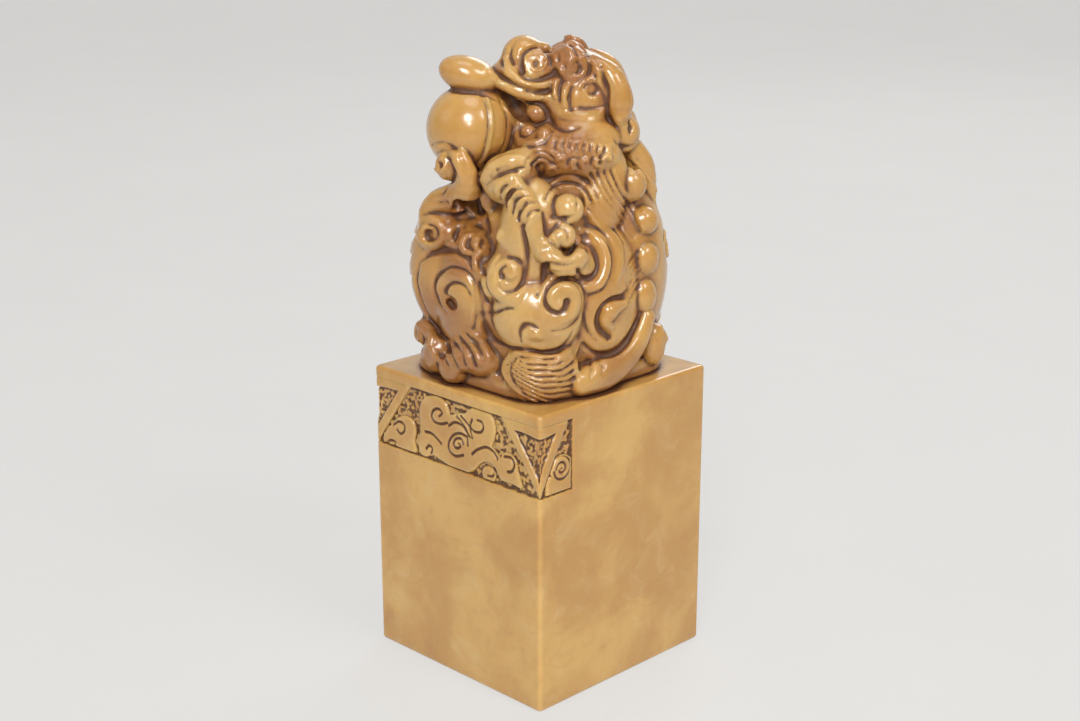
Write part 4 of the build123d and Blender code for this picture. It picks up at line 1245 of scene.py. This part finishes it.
    def beard_marks(self, work):
        """Pointed locks up into the cheek, arcs of hair at the lip and small whorls under them."""
        part = HEAD_PART
        both = {"both": True}
        for step in range(9):
            x = 872 + 46 * step
            foot = 862 + 5 * step
            top = 728 + 10 * step + 26 * (step % 2)
            flame = [(x, foot), (x - 15, foot - 36), (x - 6, foot - 76), (x + 20, top)]
            work.mark(part, flame, 0.66, 0.8, ends=(1.0, 1.0, 0.8, 0.3), **both)
        for step in range(8):
            x = 895 + 46 * step
            foot = 864 + 5 * step
            gap = [(x, foot), (x - 14, foot - 36), (x - 5, foot - 72)]
            work.mark(part, gap, 0.34, -1.0, ends=(1, 1, 0.6), **both)
        lip_hair = (795, 972)
        for reach in (128, 92, 56):
            work.whorl(part, lip_hair, reach, reach - 8, 195, 0.42, 0.55, 0.75, ends=(0.5, 1, 1, 0.5), **both)
            work.whorl(part, lip_hair, reach - 18, reach - 26, 200, 0.38, 0.32, -1.0, **both)
        for centre, start, turns in (
            ((930, 925), 150, 0.62), ((1012, 958), -60, -0.6), ((1088, 938), 140, 0.62),
            ((1165, 945), -50, -0.6), ((1232, 912), 150, 0.6), ((868, 985), 160, 0.5),
        ):
            work.whorl(part, centre, 44, 16, start, turns, 0.6, 0.85, ends=(0.5, 1, 1, 0.4), **both)
            work.whorl(part, centre, 62, 34, start, turns, 0.34, -1.0, ends=(0.5, 1, 0.5), **both)
        over_cub = (930, 290)
        for reach in (104, 142):
            work.whorl(BODY_PART, over_cub, reach, reach, -168, 0.44, 0.5, 0.8, ends=(0.5, 1, 1, 0.4))
            between = reach + 19
            work.whorl(BODY_PART, over_cub, between, between, -165, 0.42, 0.34, -1.0, ends=(0.5, 1, 0.5))

    def ball_marks(self, work):
        """The ball's ribbon and seams, and the scroll that holds it."""
        part = HEAD_PART
        crossing = [(425, 478), (458, 570), (470, 680), (456, 790), (430, 885), (392, 950)]
        near = work.hits(part, smooth_line(crossing, 12), "near")
        far = near[::-1] * np.array([1, -1, 1]) + np.array([0, 2 * BALL_MIDDLE[1], 0])
        ring = smooth_line(np.vstack([near, far, near[:1]])[::4], 0.6)
        work.tube("ball_ribbon", work.on_ball(ring, BALL_RADIUS - 0.28), 0.52, 0.1)
        work.cut(work.on_ball(ring - np.array([0.72, 0, 0]), BALL_RADIUS + 0.1), 0.3)
        seam = [(520, 520), (562, 610), (572, 700), (556, 800), (516, 880)]
        work.mark(part, seam, 0.32, -1.0)
        work.mark(part, [(75, 820), (130, 800), (200, 818), (258, 880), (290, 950)], 0.32, -1.0)
        work.mark(part, [(175, 455), (250, 468), (340, 470), (430, 488), (500, 520)],
                  0.5, -1.0, ends=(0.4, 1, 1, 0.5))
        hook = BODY_PART
        work.mark(hook, [(262, 28), (318, 20), (348, 60), (368, 120), (378, 170)], 1.0, 0.6)
        work.whorl(hook, (248, 78), 44, 10, -60, 1.1, 0.65, 0.7)
        work.mark(hook, [(248, 60), (262, 80), (252, 104)], 0.5, -1.2)
        work.mark(hook, [(300, 150), (296, 195), (262, 232), (205, 250)], 0.5, -0.9)
        work.mark(hook, [(180, 262), (225, 272), (300, 272), (345, 262)], 0.4, -0.9)

    def far_marks(self, work):
        """The hidden flank has a plain roll, a whorl and mane curls, and no second cub."""
        part = BODY_PART
        far = {"side": "far"}
        work.mark(part, [(560, 330), (640, 300), (740, 330), (820, 430), (850, 560), (820, 700), (740, 780)],
                  1.3, 0.55, ends=(0.4, 1, 1, 1, 0.4), **far)
        work.whorl(part, (700, 600), 150, 24, -150, 1.8, 0.65, -1.0, **far)
        work.whorl(part, (700, 600), 110, 30, -150, 1.4, 1.0, 0.5, **far)
        work.mark(part, [(540, 820), (620, 900), (740, 930), (850, 880)], 0.6, -0.9, **far)
        for step in range(6):
            x = 500 + 62 * step
            work.mark(part, [(x, 120), (x - 22, 170), (x - 12, 220), (x + 22, 240)], 0.85, 0.8, **far)
            work.mark(part, [(x + 30, 130), (x + 12, 175), (x + 20, 215)], 0.5, -1.0, **far)
        for step in range(5):
            x = 560 + 66 * step
            work.mark(part, [(x, 1010), (x - 24, 1060), (x - 10, 1110), (x + 26, 1120)], 0.9, 0.8, **far)
        for side in ("head", "tail"):
            work.whorl(part, (790, 1090), 62, 16, 180, 1.3, 0.9, 0.7, side=side)
            work.whorl(part, (930, 1100), 52, 14, 0, -1.3, 0.9, 0.7, side=side)
            work.whorl(part, (650, 1110), 52, 14, 180, 1.3, 0.9, 0.7, side=side)
        for step in range(4):
            y = 430 + 120 * step
            work.mark(part, [(690, y), (745, y + 42), (800, y + 50), (858, y + 42), (905, y)],
                      0.75, -0.9, ends=(0.3, 1, 1, 0.3), side="head")
        work.whorl(part, (784, 660), 112, 24, -150, 1.8, 0.6, -1.0, side="tail")
        work.whorl(part, (784, 660), 84, 26, -150, 1.4, 0.9, 0.5, side="tail")


class SEAL_OT_pieces(bpy.types.Operator):
    """Divide the carved stone into its named pieces"""

    bl_idname = "seal.pieces"
    bl_label = "Divide into pieces"

    def execute(self, context):
        work = stone()
        floor = BLOCK_TOP - work.z[None, None, :]
        work.solid = np.maximum(work.solid, np.broadcast_to(floor, work.solid.shape)).astype(np.float32)
        work.trim(BLOCK_HALF - 0.05, 0.4)
        work.solid[:, :, -2:] = FAR_AWAY
        fullness = np.clip(0.5 - work.solid / work.pitch, 0, 1).astype(np.float32)
        fullness[:, :, work.z < BLOCK_TOP] = 1.0
        near = box_blur(box_blur(fullness, max(1, round(NEAR_REACH / work.pitch))), 1)
        wide = box_blur(fullness, max(2, round(WIDE_REACH / work.pitch)))
        cub = np.isin(work.owner, [work.names.index(name) + 1 for name in CUB_PIECES])
        pale = box_blur(cub.astype(np.float32), max(1, round(TONE_REACH / work.pitch)))
        STONE["near"] = near
        STONE["wide"] = wide
        points, quads, owners, outside = net_pieces(work)
        quads, owners, outside = drop_specks(quads, owners, outside, len(points))
        points = relax(points, quads, outside, 2, 0.45)
        normals = net_normals(points, quads, outside)
        beast = block_to_beast(points)
        tight = work.sample(near, beast)
        broad = work.sample(wide, beast)
        recess = np.clip((tight - 0.5) * RECESS_GAIN, 0, 1)
        # hollow drives a brown wash: partly the stone's aged brown, partly painted shade between the forms.
        hollow = np.clip((broad - 0.5) * HOLLOW_GAIN, 0, 1)
        # crest drives paler rolls: partly wear, partly a painted highlight on the ridges.
        crest = np.clip((0.5 - tight) * CREST_GAIN, 0, 1)
        # Round the listed places the stone is darker still: partly stain, partly painted shade.
        for place, reach, share in STAINED_AND_SHADED_PLACES:
            for side in (1, -1):
                gap = np.linalg.norm(beast - np.array(place) * np.array([1, side, 1]), axis=1)
                hollow = np.clip(hollow + share * (1 - ease(gap, 0.35 * reach, reach)), 0, 1)
        tone = np.clip(work.sample(pale, beast), 0, 1)
        for index, name in enumerate(work.names):
            mine = quads[owners == index + 1]
            if not len(mine):
                raise RuntimeError(f"Nothing is left of {name}")
            used, faces = np.unique(mine, return_inverse=True)
            mesh_piece(
                f"carved_{name}", name, points[used], faces.reshape(-1, 4), normals[used],
                recess=recess[used], hollow=hollow[used], crest=crest[used], tone=tone[used],
            )
        return {"FINISHED"}


def block_outline(along):
    """Place on the block's rounded square and the way out, along from the carved face's middle."""
    along = (np.asarray(along, dtype=float) + BLOCK_HALF) % (8 * BLOCK_HALF) - BLOCK_HALF
    face = np.floor((along + BLOCK_HALF) / (2 * BLOCK_HALF)).astype(int)
    side = along - 2 * BLOCK_HALF * face
    flat = BLOCK_HALF - CORNER
    bend = np.clip(np.abs(side) - flat, 0, CORNER) / CORNER * math.pi / 4
    slide = np.clip(side, -flat, flat) + np.sign(side) * CORNER * np.sin(bend)
    out = flat + CORNER * np.cos(bend)
    turn = face * math.pi / 2
    tilt = turn + np.sign(side) * bend
    x = np.cos(turn) * slide + np.sin(turn) * out
    y = np.sin(turn) * slide - np.cos(turn) * out
    return np.stack([x, y], axis=-1), np.stack([np.sin(tilt), -np.cos(tilt)], axis=-1)


def band_spots(spots):
    """Places on the carved face, along and up, of places picked in the enlarged photograph."""
    eye, rays = picture_rays(BAND_PART, smooth_line(spots, 12), "near")
    eye, rays = beast_to_block(eye), beast_to_block(rays)
    reach = (-BLOCK_HALF - eye[1]) / rays[:, 1]
    hit = eye + rays * reach[:, None]
    return hit[:, [0, 2]]


def line_gap(along, up, line):
    """Distance of grid places from a line of points."""
    best = np.full(np.broadcast(along, up).shape, 99.0)
    for a, b in zip(line, line[1:]):
        run = b - a
        share = np.clip(((along - a[0]) * run[0] + (up - a[1]) * run[1]) / max(run @ run, 1e-9), 0, 1)
        gap = np.hypot(along - a[0] - share * run[0], up - a[1] - share * run[1])
        best = np.minimum(best, gap)
    return best


def inside_gap(along, up, outline):
    """Signed distance from a closed outline: below zero inside."""
    closed = np.vstack([outline, outline[:1]])
    gap = line_gap(along, up, closed)
    crossings = np.zeros(gap.shape, dtype=int)
    for a, b in zip(closed, closed[1:]):
        spans = (a[1] > up) != (b[1] > up)
        slope = (b[0] - a[0]) / np.where(abs(b[1] - a[1]) < 1e-9, 1e-9, b[1] - a[1])
        crossings += (spans & (along < a[0] + (up - a[1]) * slope)).astype(int)
    return np.where(crossings % 2 == 1, -gap, gap)


def stipple(along, up):
    """Pecked ground: pits at random depths, from 0 to 1."""
    dice = np.random.RandomState(STIPPLE_SEED)
    total = 0
    for pitch, share in ((0.62, 0.6), (0.38, 0.4)):
        table = dice.rand(256, 128)
        i, j = (along + 40) / pitch, up / pitch
        i0, j0 = np.floor(i).astype(int), np.floor(j).astype(int)
        fi, fj = i - i0, j - j0
        fi, fj = fi * fi * (3 - 2 * fi), fj * fj * (3 - 2 * fj)
        value = (
            table[i0 % 256, j0 % 128] * (1 - fi) * (1 - fj)
            + table[(i0 + 1) % 256, j0 % 128] * fi * (1 - fj)
            + table[i0 % 256, (j0 + 1) % 128] * (1 - fi) * fj
            + table[(i0 + 1) % 256, (j0 + 1) % 128] * fi * fj
        )
        total = total + share * value
    return np.clip((total - 0.38) * 3.0, 0, 1)


def ease(value, low, high):
    """0 at low, 1 at high, with soft ends."""
    share = np.clip((value - low) / (high - low), 0, 1)
    return share * share * (3 - 2 * share)


def groove(gap, half, depth):
    """Height of a rounded groove at a gap from its middle line."""
    return -depth * np.clip(1 - (gap / half) ** 2, 0, 1)


class Band:
    """The carved band's shapes, on a grid of along and up. Millimetres, and heights below the face."""

    cloud_edge = [
        (392, 262), (358, 305), (348, 380), (352, 450), (352, 520), (340, 590), (352, 660), (392, 690),
        (440, 680), (500, 715), (575, 765), (650, 798), (715, 806), (760, 762), (810, 728), (868, 748),
        (902, 800), (930, 858), (1010, 888), (1072, 918), (1062, 850), (1046, 800), (1030, 730), (985, 672),
        (942, 668), (922, 700), (884, 660), (862, 620), (876, 560), (884, 490), (868, 420), (822, 366),
        (765, 340), (706, 352), (668, 384), (612, 384), (566, 396), (548, 352), (520, 296), (458, 262),
    ]
    side_scroll_edge = [
        (100, 600), (92, 540), (140, 470), (190, 415), (248, 402), (296, 436), (318, 505), (310, 580),
        (322, 660), (250, 655), (180, 632),
    ]
    cloud_lines = [
        [(545, 450), (500, 458), (455, 442), (434, 402), (446, 360), (482, 350), (508, 378), (488, 402)],
        [(722, 428), (708, 470), (735, 510), (782, 518), (802, 484), (790, 446), (762, 432)],
        [(692, 610), (684, 556), (640, 526), (588, 538), (556, 592), (562, 650), (606, 688), (660, 680)],
        [(660, 600), (640, 562), (602, 566), (590, 602), (612, 632), (640, 616), (628, 596)],
        [(612, 404), (668, 478), (704, 552)],
        [(640, 400), (694, 466), (722, 556)],
        [(556, 470), (600, 446), (652, 474), (690, 540)],
        [(392, 512), (440, 530), (502, 596)],
        [(398, 632), (416, 610), (440, 636), (428, 668)],
        [(722, 672), (760, 640), (822, 624), (866, 652), (902, 706)],
        [(706, 812), (752, 790), (790, 748), (836, 744), (876, 790), (868, 832), (838, 826)],
        [(950, 690), (996, 700), (1022, 752), (1006, 796), (978, 800)],
        [(160, 462), (200, 440), (236, 462), (240, 508), (212, 526), (192, 500)],
        [(110, 596), (142, 572), (176, 588), (168, 612)],
    ]
    low_scroll = (838, 822)
    eyes = [(482, 398), (766, 440), (622, 596), (418, 648), (842, 826), (214, 500)]

    def __init__(self, pitch):
        reach = BLOCK_HALF + BAND_RETURN + 0.5
        self.along = np.arange(-reach, reach + pitch, pitch)
        self.up = np.arange(BAND_LOW - 0.4, BAND_HIGH + 0.4 + pitch, pitch)
        self.pitch = pitch
        self.a, self.u = np.meshgrid(self.along, self.up, indexing="ij")
        self.pits = stipple(self.a, self.u)

    def field_gap(self, inset=0.0):
        """Signed distance from the band's rectangle, which turns both corners."""
        side = np.abs(self.a) - (BLOCK_HALF + BAND_RETURN - inset)
        rise = np.abs(self.u - (BAND_LOW + BAND_HIGH) / 2) - ((BAND_HIGH - BAND_LOW) / 2 - inset)
        return np.maximum(side, rise)

    def ground(self):
        """Height of the pecked ground below the face."""
        gap = self.field_gap()
        floor = -BAND_DEPTH + 0.04 - 0.26 * self.pits
        return floor * (1 - ease(gap, -0.22, 0.05))

    def lappet_gap(self, corner):
        """Pointed lappet folded over a corner, and the pecked field inside it."""
        across = self.a - corner
        half = LAPPET_HALF * (self.u - BAND_LOW) / (BAND_HIGH - BAND_LOW)
        right = half * LAPPET_NARROWER if corner > 0 else half
        left = half if corner > 0 else half * LAPPET_NARROWER
        width = np.where(across < 0, left, right)
        edge = (np.abs(across) - width) * 0.8
        edge = np.maximum(edge, self.u - BAND_HIGH)
        dip = 1.6 * np.clip(1 - (across / 7.0) ** 2, 0, 1)
        inner = np.maximum(edge + 1.5, self.u - (BAND_HIGH - 0.2 - dip))
        return edge, inner


class SEAL_OT_block(bpy.types.Operator):
    """Build the block: polished faces, ground corners and the pecked ground of its carved band"""

    bl_idname = "seal.block"
    bl_label = "Build the block"

    def execute(self, context):
        band = Band(settings().band_pitch)
        STONE["band"] = band
        along = self.place_columns(band)
        heights, stain = self.peck(band, len(along))
        rows = self.place_rows(band)
        ring, out = block_outline(along)
        points, stains = [], []
        for scale, level, index in rows:
            shift = 0.0 if index is None else heights[:, index]
            flat = ring * max(scale, 0.02) + out * np.reshape(shift, (-1, 1))
            points.append(np.column_stack([flat, np.full(len(flat), level)]))
            stains.append(np.zeros(len(flat)) if index is None else stain[:, index])
        points = np.vstack(points)
        stains = np.concatenate(stains)
        faces = self.join_rows(len(rows), len(along))
        hollow = self.contact(points)
        recess = np.clip(stains + np.clip(hollow - 0.45, 0, 1) * 1.1, 0, 1)
        # Paler vertical corners of the block: partly wear, partly a painted highlight.
        sharp = np.clip(np.abs(points[:, :2]).min(axis=1) - BLOCK_HALF + 1.0, 0, 1)
        mesh_piece("carved_seal_block", "seal_block", points, faces, None,
                   recess=recess, hollow=hollow * 0.8, crest=sharp * 0.5, tone=np.zeros(len(points)))
        return {"FINISHED"}

    def place_columns(self, band):
        """Places around the block: close together on the band and the corners, wider elsewhere."""
        edge = band.along[-1]
        plain = np.concatenate([
            np.arange(edge + 0.6, 58.8, 1.2), np.linspace(59.2, 60.8, 9), np.arange(62, 98.8, 1.4),
            np.linspace(99.2, 100.8, 9), np.arange(102, 160 - edge - 0.5, 1.2),
        ])
        return np.concatenate([band.along, plain])

    def peck(self, band, count):
        """Height and stain of each column at the band's levels."""
        carved = slice(0, len(band.along))
        heights = np.zeros((count, len(band.up)))
        heights[carved] = band.ground()
        mean = box_blur(heights[carved].astype(np.float32), max(1, round(0.6 / band.pitch)))
        low = np.clip(-heights[carved] / BAND_DEPTH, 0, 1)
        stain = np.zeros_like(heights)
        stain[carved] = np.clip(0.30 * low + (mean - heights[carved]) * 3.2, 0, 1)
        return heights, stain

    def place_rows(self, band):
        """Rings from the seal face up to the top: scale, level, and place in the band's grid or None."""
        rows = []
        turns = np.linspace(0, math.pi / 2, 6)
        for shrink in (0.0, 0.45, 0.8, 0.96):
            rows.append((shrink, 0.0, None))
        for turn in turns[1:]:
            shrink = 1 - EDGE_RADIUS * (1 - math.sin(turn)) / BLOCK_HALF
            rows.append((shrink, EDGE_RADIUS * (1 - math.cos(turn)), None))
        for level in np.linspace(EDGE_RADIUS, band.up[0], 26)[1:-1]:
            rows.append((1.0, level, None))
        for index, level in enumerate(band.up):
            rows.append((1.0, level, index))
        for level in np.linspace(band.up[-1], BLOCK_TOP - EDGE_RADIUS, 6)[1:-1]:
            rows.append((1.0, level, None))
        for turn in turns:
            shrink = 1 - EDGE_RADIUS * (1 - math.cos(turn)) / BLOCK_HALF
            rows.append((shrink, BLOCK_TOP - EDGE_RADIUS + EDGE_RADIUS * math.sin(turn), None))
        for inset in np.linspace(EDGE_RADIUS, 9.0, 22)[1:]:
            rows.append((1 - inset / BLOCK_HALF, BLOCK_TOP, None))
        return rows

    def join_rows(self, rows, count):
        """Quads between the rings, with a face over each end."""
        faces = []
        for row in range(rows - 1):
            here = row * count + np.arange(count)
            beside = row * count + (np.arange(count) + 1) % count
            faces.append(np.stack([here, beside, beside + count, here + count], axis=1))
        faces = [list(face) for face in np.vstack(faces)]
        faces.append(list(range(count))[::-1])
        faces.append(list(range((rows - 1) * count, rows * count)))
        return faces

    def contact(self, points):
        """Darker colour where the carving stands on the block."""
        work = stone()
        probe = block_to_beast(points * np.array([1, 1, 0]) + np.array([0, 0, BLOCK_TOP + 0.9]))
        near = work.sample(STONE["near"], probe)
        wide = work.sample(STONE["wide"], probe)
        on_top = points[:, 2] > BLOCK_TOP - 0.02
        return np.where(on_top, np.clip((wide - 0.30) * 2.4 + near * 0.6, 0, 1), 0)


class SEAL_OT_band(bpy.types.Operator):
    """Raise the cloud scroll and the two lappets of the carved band"""

    bl_idname = "seal.band"
    bl_label = "Raise the band's pieces"

    def execute(self, context):
        band = STONE["band"]
        lappets = []
        for name, corner in (("front_lappet", BLOCK_HALF), ("side_lappet", -BLOCK_HALF)):
            edge, inner = band.lappet_gap(corner)
            lappets.append(edge)
            top = -0.02 - (0.30 + 0.2 * band.pits) * (1 - ease(inner, -0.2, 0.05))
            top = top + groove(np.abs(edge + 0.12), 0.22, 0.1)
            self.slab(band, name, edge, top)
        cloud = self.cloud_gap(band, lappets)
        self.slab(band, "cloud_scroll", cloud, self.cloud_top(band, cloud))
        return {"FINISHED"}

    def cloud_gap(self, band, lappets):
        """Signed distance from the cloud scroll, its low scroll and the tails behind the corners."""
        gaps = []
        for outline in (band.cloud_edge, band.side_scroll_edge):
            gaps.append(inside_gap(band.a, band.u, band_spots(outline + outline[:1])[:-1]))
        spot = band_spots([band.low_scroll, (band.low_scroll[0] + 1, band.low_scroll[1])])[0]
        gaps.append(np.hypot(band.a - spot[0], band.u - spot[1]) - LOW_SCROLL_RADIUS)
        for sign in (1, -1):
            corner = sign * BLOCK_HALF
            gaps.append(np.hypot((band.a - (corner + sign * 5.2)) / 1.1, band.u - 41.2) - 2.3)
            aside = np.abs(band.a - (corner + sign * 4.6)) - 2.9
            gaps.append(np.maximum(aside, np.abs(band.u - 39.0) - 1.5))
        cloud = np.maximum(np.minimum.reduce(gaps), band.field_gap(0.35))
        for edge in lappets:
            cloud = np.maximum(cloud, 0.45 - edge)
        return cloud

    def cloud_top(self, band, cloud):
        """Height of the cloud scroll below the face, with its lines, eyes and corner swirls."""
        top = np.zeros_like(cloud) - 0.03
        for line in band.cloud_lines:
            top = top + groove(line_gap(band.a, band.u, band_spots(line)), 0.34, 0.36)
        for eye in band.eyes:
            spot = band_spots([eye, (eye[0] + 1, eye[1] + 1)])[0]
            gap = np.hypot(band.a - spot[0], band.u - spot[1])
            top = top + 0.12 * np.clip(1 - (gap / 0.7) ** 2, 0, 1)
        for sign in (1, -1):
            along = band.a - sign * (BLOCK_HALF + SWIRL_ASIDE)
            up = band.u - SWIRL_UP
            gap = np.hypot(along, up)
            swirl = np.arctan2(up, sign * along)
            ring = np.abs((gap - 0.32 * (swirl + math.pi) / math.pi) % 1.1 - 0.55)
            top = top + np.where(gap < SWIRL_RADIUS, groove(ring, 0.3, 0.3), 0)
        top = top - 0.10 * ease(cloud, -0.5, 0.0)
        return np.clip(top, -0.42, 0)

    def slab(self, band, name, edge, top):
        """A raised shape whose sides slope down into the pecked ground."""
        under = BAND_DEPTH + 0.38
        top = top - (under + top) * ease(edge, -0.06, 0.26)
        keep = edge < 0.30
        cell = keep[:-1, :-1] & keep[1:, :-1] & keep[:-1, 1:] & keep[1:, 1:]
        rows, columns = band.a.shape
        number = np.arange(rows * columns).reshape(rows, columns)
        i, j = np.nonzero(cell)
        over = np.stack([number[i, j], number[i + 1, j], number[i + 1, j + 1], number[i, j + 1]], axis=1)
        ring, out = block_outline(band.a.ravel())
        height = top.ravel()
        level = band.u.ravel()
        outer = np.column_stack([ring + out * height[:, None], level])
        inner = np.column_stack([ring - out * (under + 0.08), level])
        total = rows * columns
        pairs = {}
        for face in over:
            for a, b in zip(face, np.roll(face, -1)):
                pairs[(int(a), int(b))] = True
        rim = [(a, b) for a, b in pairs if (b, a) not in pairs]
        walls = np.array([[b, a, a + total, b + total] for a, b in rim])
        faces = np.vstack([over, over[:, ::-1] + total, walls])
        used, faces = np.unique(faces, return_inverse=True)
        points = np.vstack([outer, inner])[used]
        mean = box_blur(top.astype(np.float32), max(1, round(0.45 / band.pitch)))
        stain = np.clip((mean - top) * 3.4 + np.clip(-top - 0.12, 0, 1) * 0.9, 0, 1).ravel()
        stain = np.concatenate([stain, stain])[used]
        # Paler raised spots of the band: partly wear, partly a painted highlight.
        worn_and_highlight = np.clip((top - mean) * 3.0, 0, 1).ravel()
        worn_and_highlight = np.concatenate([worn_and_highlight, worn_and_highlight])[used]
        mesh_piece(f"carved_{name}", name, points, faces.reshape(-1, 4), None,
                   recess=stain, hollow=stain * 0.4 + 0.10, crest=worn_and_highlight, tone=np.zeros(len(points)))


class SEAL_OT_stage(bpy.types.Operator):
    """Set the floor, the soft lights and the camera of the photograph"""

    bl_idname = "seal.stage"
    bl_label = "Set the stage"

    def execute(self, context):
        self.floor()
        self.lights()
        self.camera()
        return {"FINISHED"}

    def floor(self):
        """The pale floor, which bends up into a wall behind the stamp."""
        mesh = bpy.data.meshes.new("studio_floor")
        steps = 48
        profile = [(-FLOOR_REACH, 0.0), (BEND_START, 0.0)]
        for step in range(1, steps + 1):
            turn = step / steps * math.pi / 2
            profile.append((BEND_START + BEND_RADIUS * math.sin(turn), BEND_RADIUS * (1 - math.cos(turn))))
        profile.append((BEND_START + BEND_RADIUS, WALL_TOP))
        points = []
        away = Vector((-ROOT_HALF, ROOT_HALF, 0))
        aside = Vector((ROOT_HALF, ROOT_HALF, 0))
        for distance, height in profile:
            for side in (-WALL_HALF_WIDTH, WALL_HALF_WIDTH):
                points.append(away * distance + aside * side + Vector((0, 0, height)))
        faces = [(2 * i, 2 * i + 1, 2 * i + 3, 2 * i + 2) for i in range(len(profile) - 1)]
        mesh.from_pydata([tuple(point) for point in points], [], faces)
        mesh.polygons.foreach_set("use_smooth", [True] * len(faces))
        mesh.materials.append(stage_material("pale floor", settings().backdrop, 0.6))
        floor = bpy.data.objects.new("studio_floor", mesh)
        bpy.context.scene.collection.objects.link(floor)

    def lights(self):
        """The soft lamps and the dim sky."""
        middle = Vector((0, 0, 0.06))
        for name, azimuth, height, distance, size, power in LAMPS:
            light = bpy.data.lights.new(name, "AREA")
            light.shape = "ELLIPSE"
            light.size = size
            light.size_y = size
            light.energy = power
            lamp = bpy.data.objects.new(name, light)
            turn, tilt = math.radians(azimuth), math.radians(height)
            spot = Vector((math.sin(turn) * math.cos(tilt), -math.cos(turn) * math.cos(tilt), math.sin(tilt)))
            lamp.location = middle + spot * distance
            lamp.rotation_euler = spot.to_track_quat("Z", "Y").to_euler()
            bpy.context.scene.collection.objects.link(lamp)
        world = bpy.data.worlds.new("studio")
        bpy.context.scene.world = world
        world.use_nodes = True
        graph = Graph(world.node_tree)
        sky = graph.node("ShaderNodeBackground", None, {"Color": SKY_COLOUR, "Strength": SKY_STRENGTH})
        graph.node("ShaderNodeOutputWorld", None, {"Surface": sky.outputs[0]})

    def camera(self):
        """The photograph's camera."""
        data = bpy.data.cameras.new("camera")
        data.sensor_fit = "HORIZONTAL"
        data.sensor_width = LENS_WIDTH
        data.lens = LENS_WIDTH * FOCAL_PIXELS / PICTURE_WIDTH
        data.clip_start = 0.01
        camera = bpy.data.objects.new("camera", data)
        eye = beast_to_block(np.array([0, CAMERA_NEAR, CAMERA_UP])) * MM
        camera.location = Vector(eye)
        look = Vector((
            -ROOT_HALF * math.cos(CAMERA_DROP), ROOT_HALF * math.cos(CAMERA_DROP), -math.sin(CAMERA_DROP)
        ))
        camera.rotation_euler = look.to_track_quat("-Z", "Y").to_euler()
        bpy.context.scene.collection.objects.link(camera)
        bpy.context.scene.camera = camera
        bpy.context.scene.view_settings.view_transform = "Standard"


OPERATORS = (
    SEAL_OT_rough_out,
    SEAL_OT_head,
    SEAL_OT_cub,
    SEAL_OT_marks,
    SEAL_OT_pieces,
    SEAL_OT_block,
    SEAL_OT_band,
    SEAL_OT_stage,
)


class SEAL_PT_panel(bpy.types.Panel):
    """Lists the steps in their order"""

    bl_idname = "SEAL_PT_panel"
    bl_label = "Seal Stamp"
    bl_space_type = "VIEW_3D"
    bl_region_type = "UI"
    bl_category = "Seal Stamp"

    def draw(self, context):
        for name in SealSettings.__annotations__:
            self.layout.prop(context.scene.seal_settings, name)
        for operator in OPERATORS:
            self.layout.operator(operator.bl_idname)


CLASSES = (SealSettings,) + OPERATORS + (SEAL_PT_panel,)


def register():
    for kind in CLASSES:
        bpy.utils.register_class(kind)
    bpy.types.Scene.seal_settings = bpy.props.PointerProperty(type=SealSettings)


def unregister():
    del bpy.types.Scene.seal_settings
    for kind in reversed(CLASSES):
        bpy.utils.unregister_class(kind)


def main():
    """Builds the stamp and its stage."""
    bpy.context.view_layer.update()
    register()
    bpy.ops.seal.rough_out()
    bpy.ops.seal.head()
    bpy.ops.seal.cub()
    bpy.ops.seal.marks()
    bpy.ops.seal.pieces()
    bpy.ops.seal.block()
    bpy.ops.seal.band()
    bpy.ops.seal.stage()


if __name__ == "__main__":
    main()
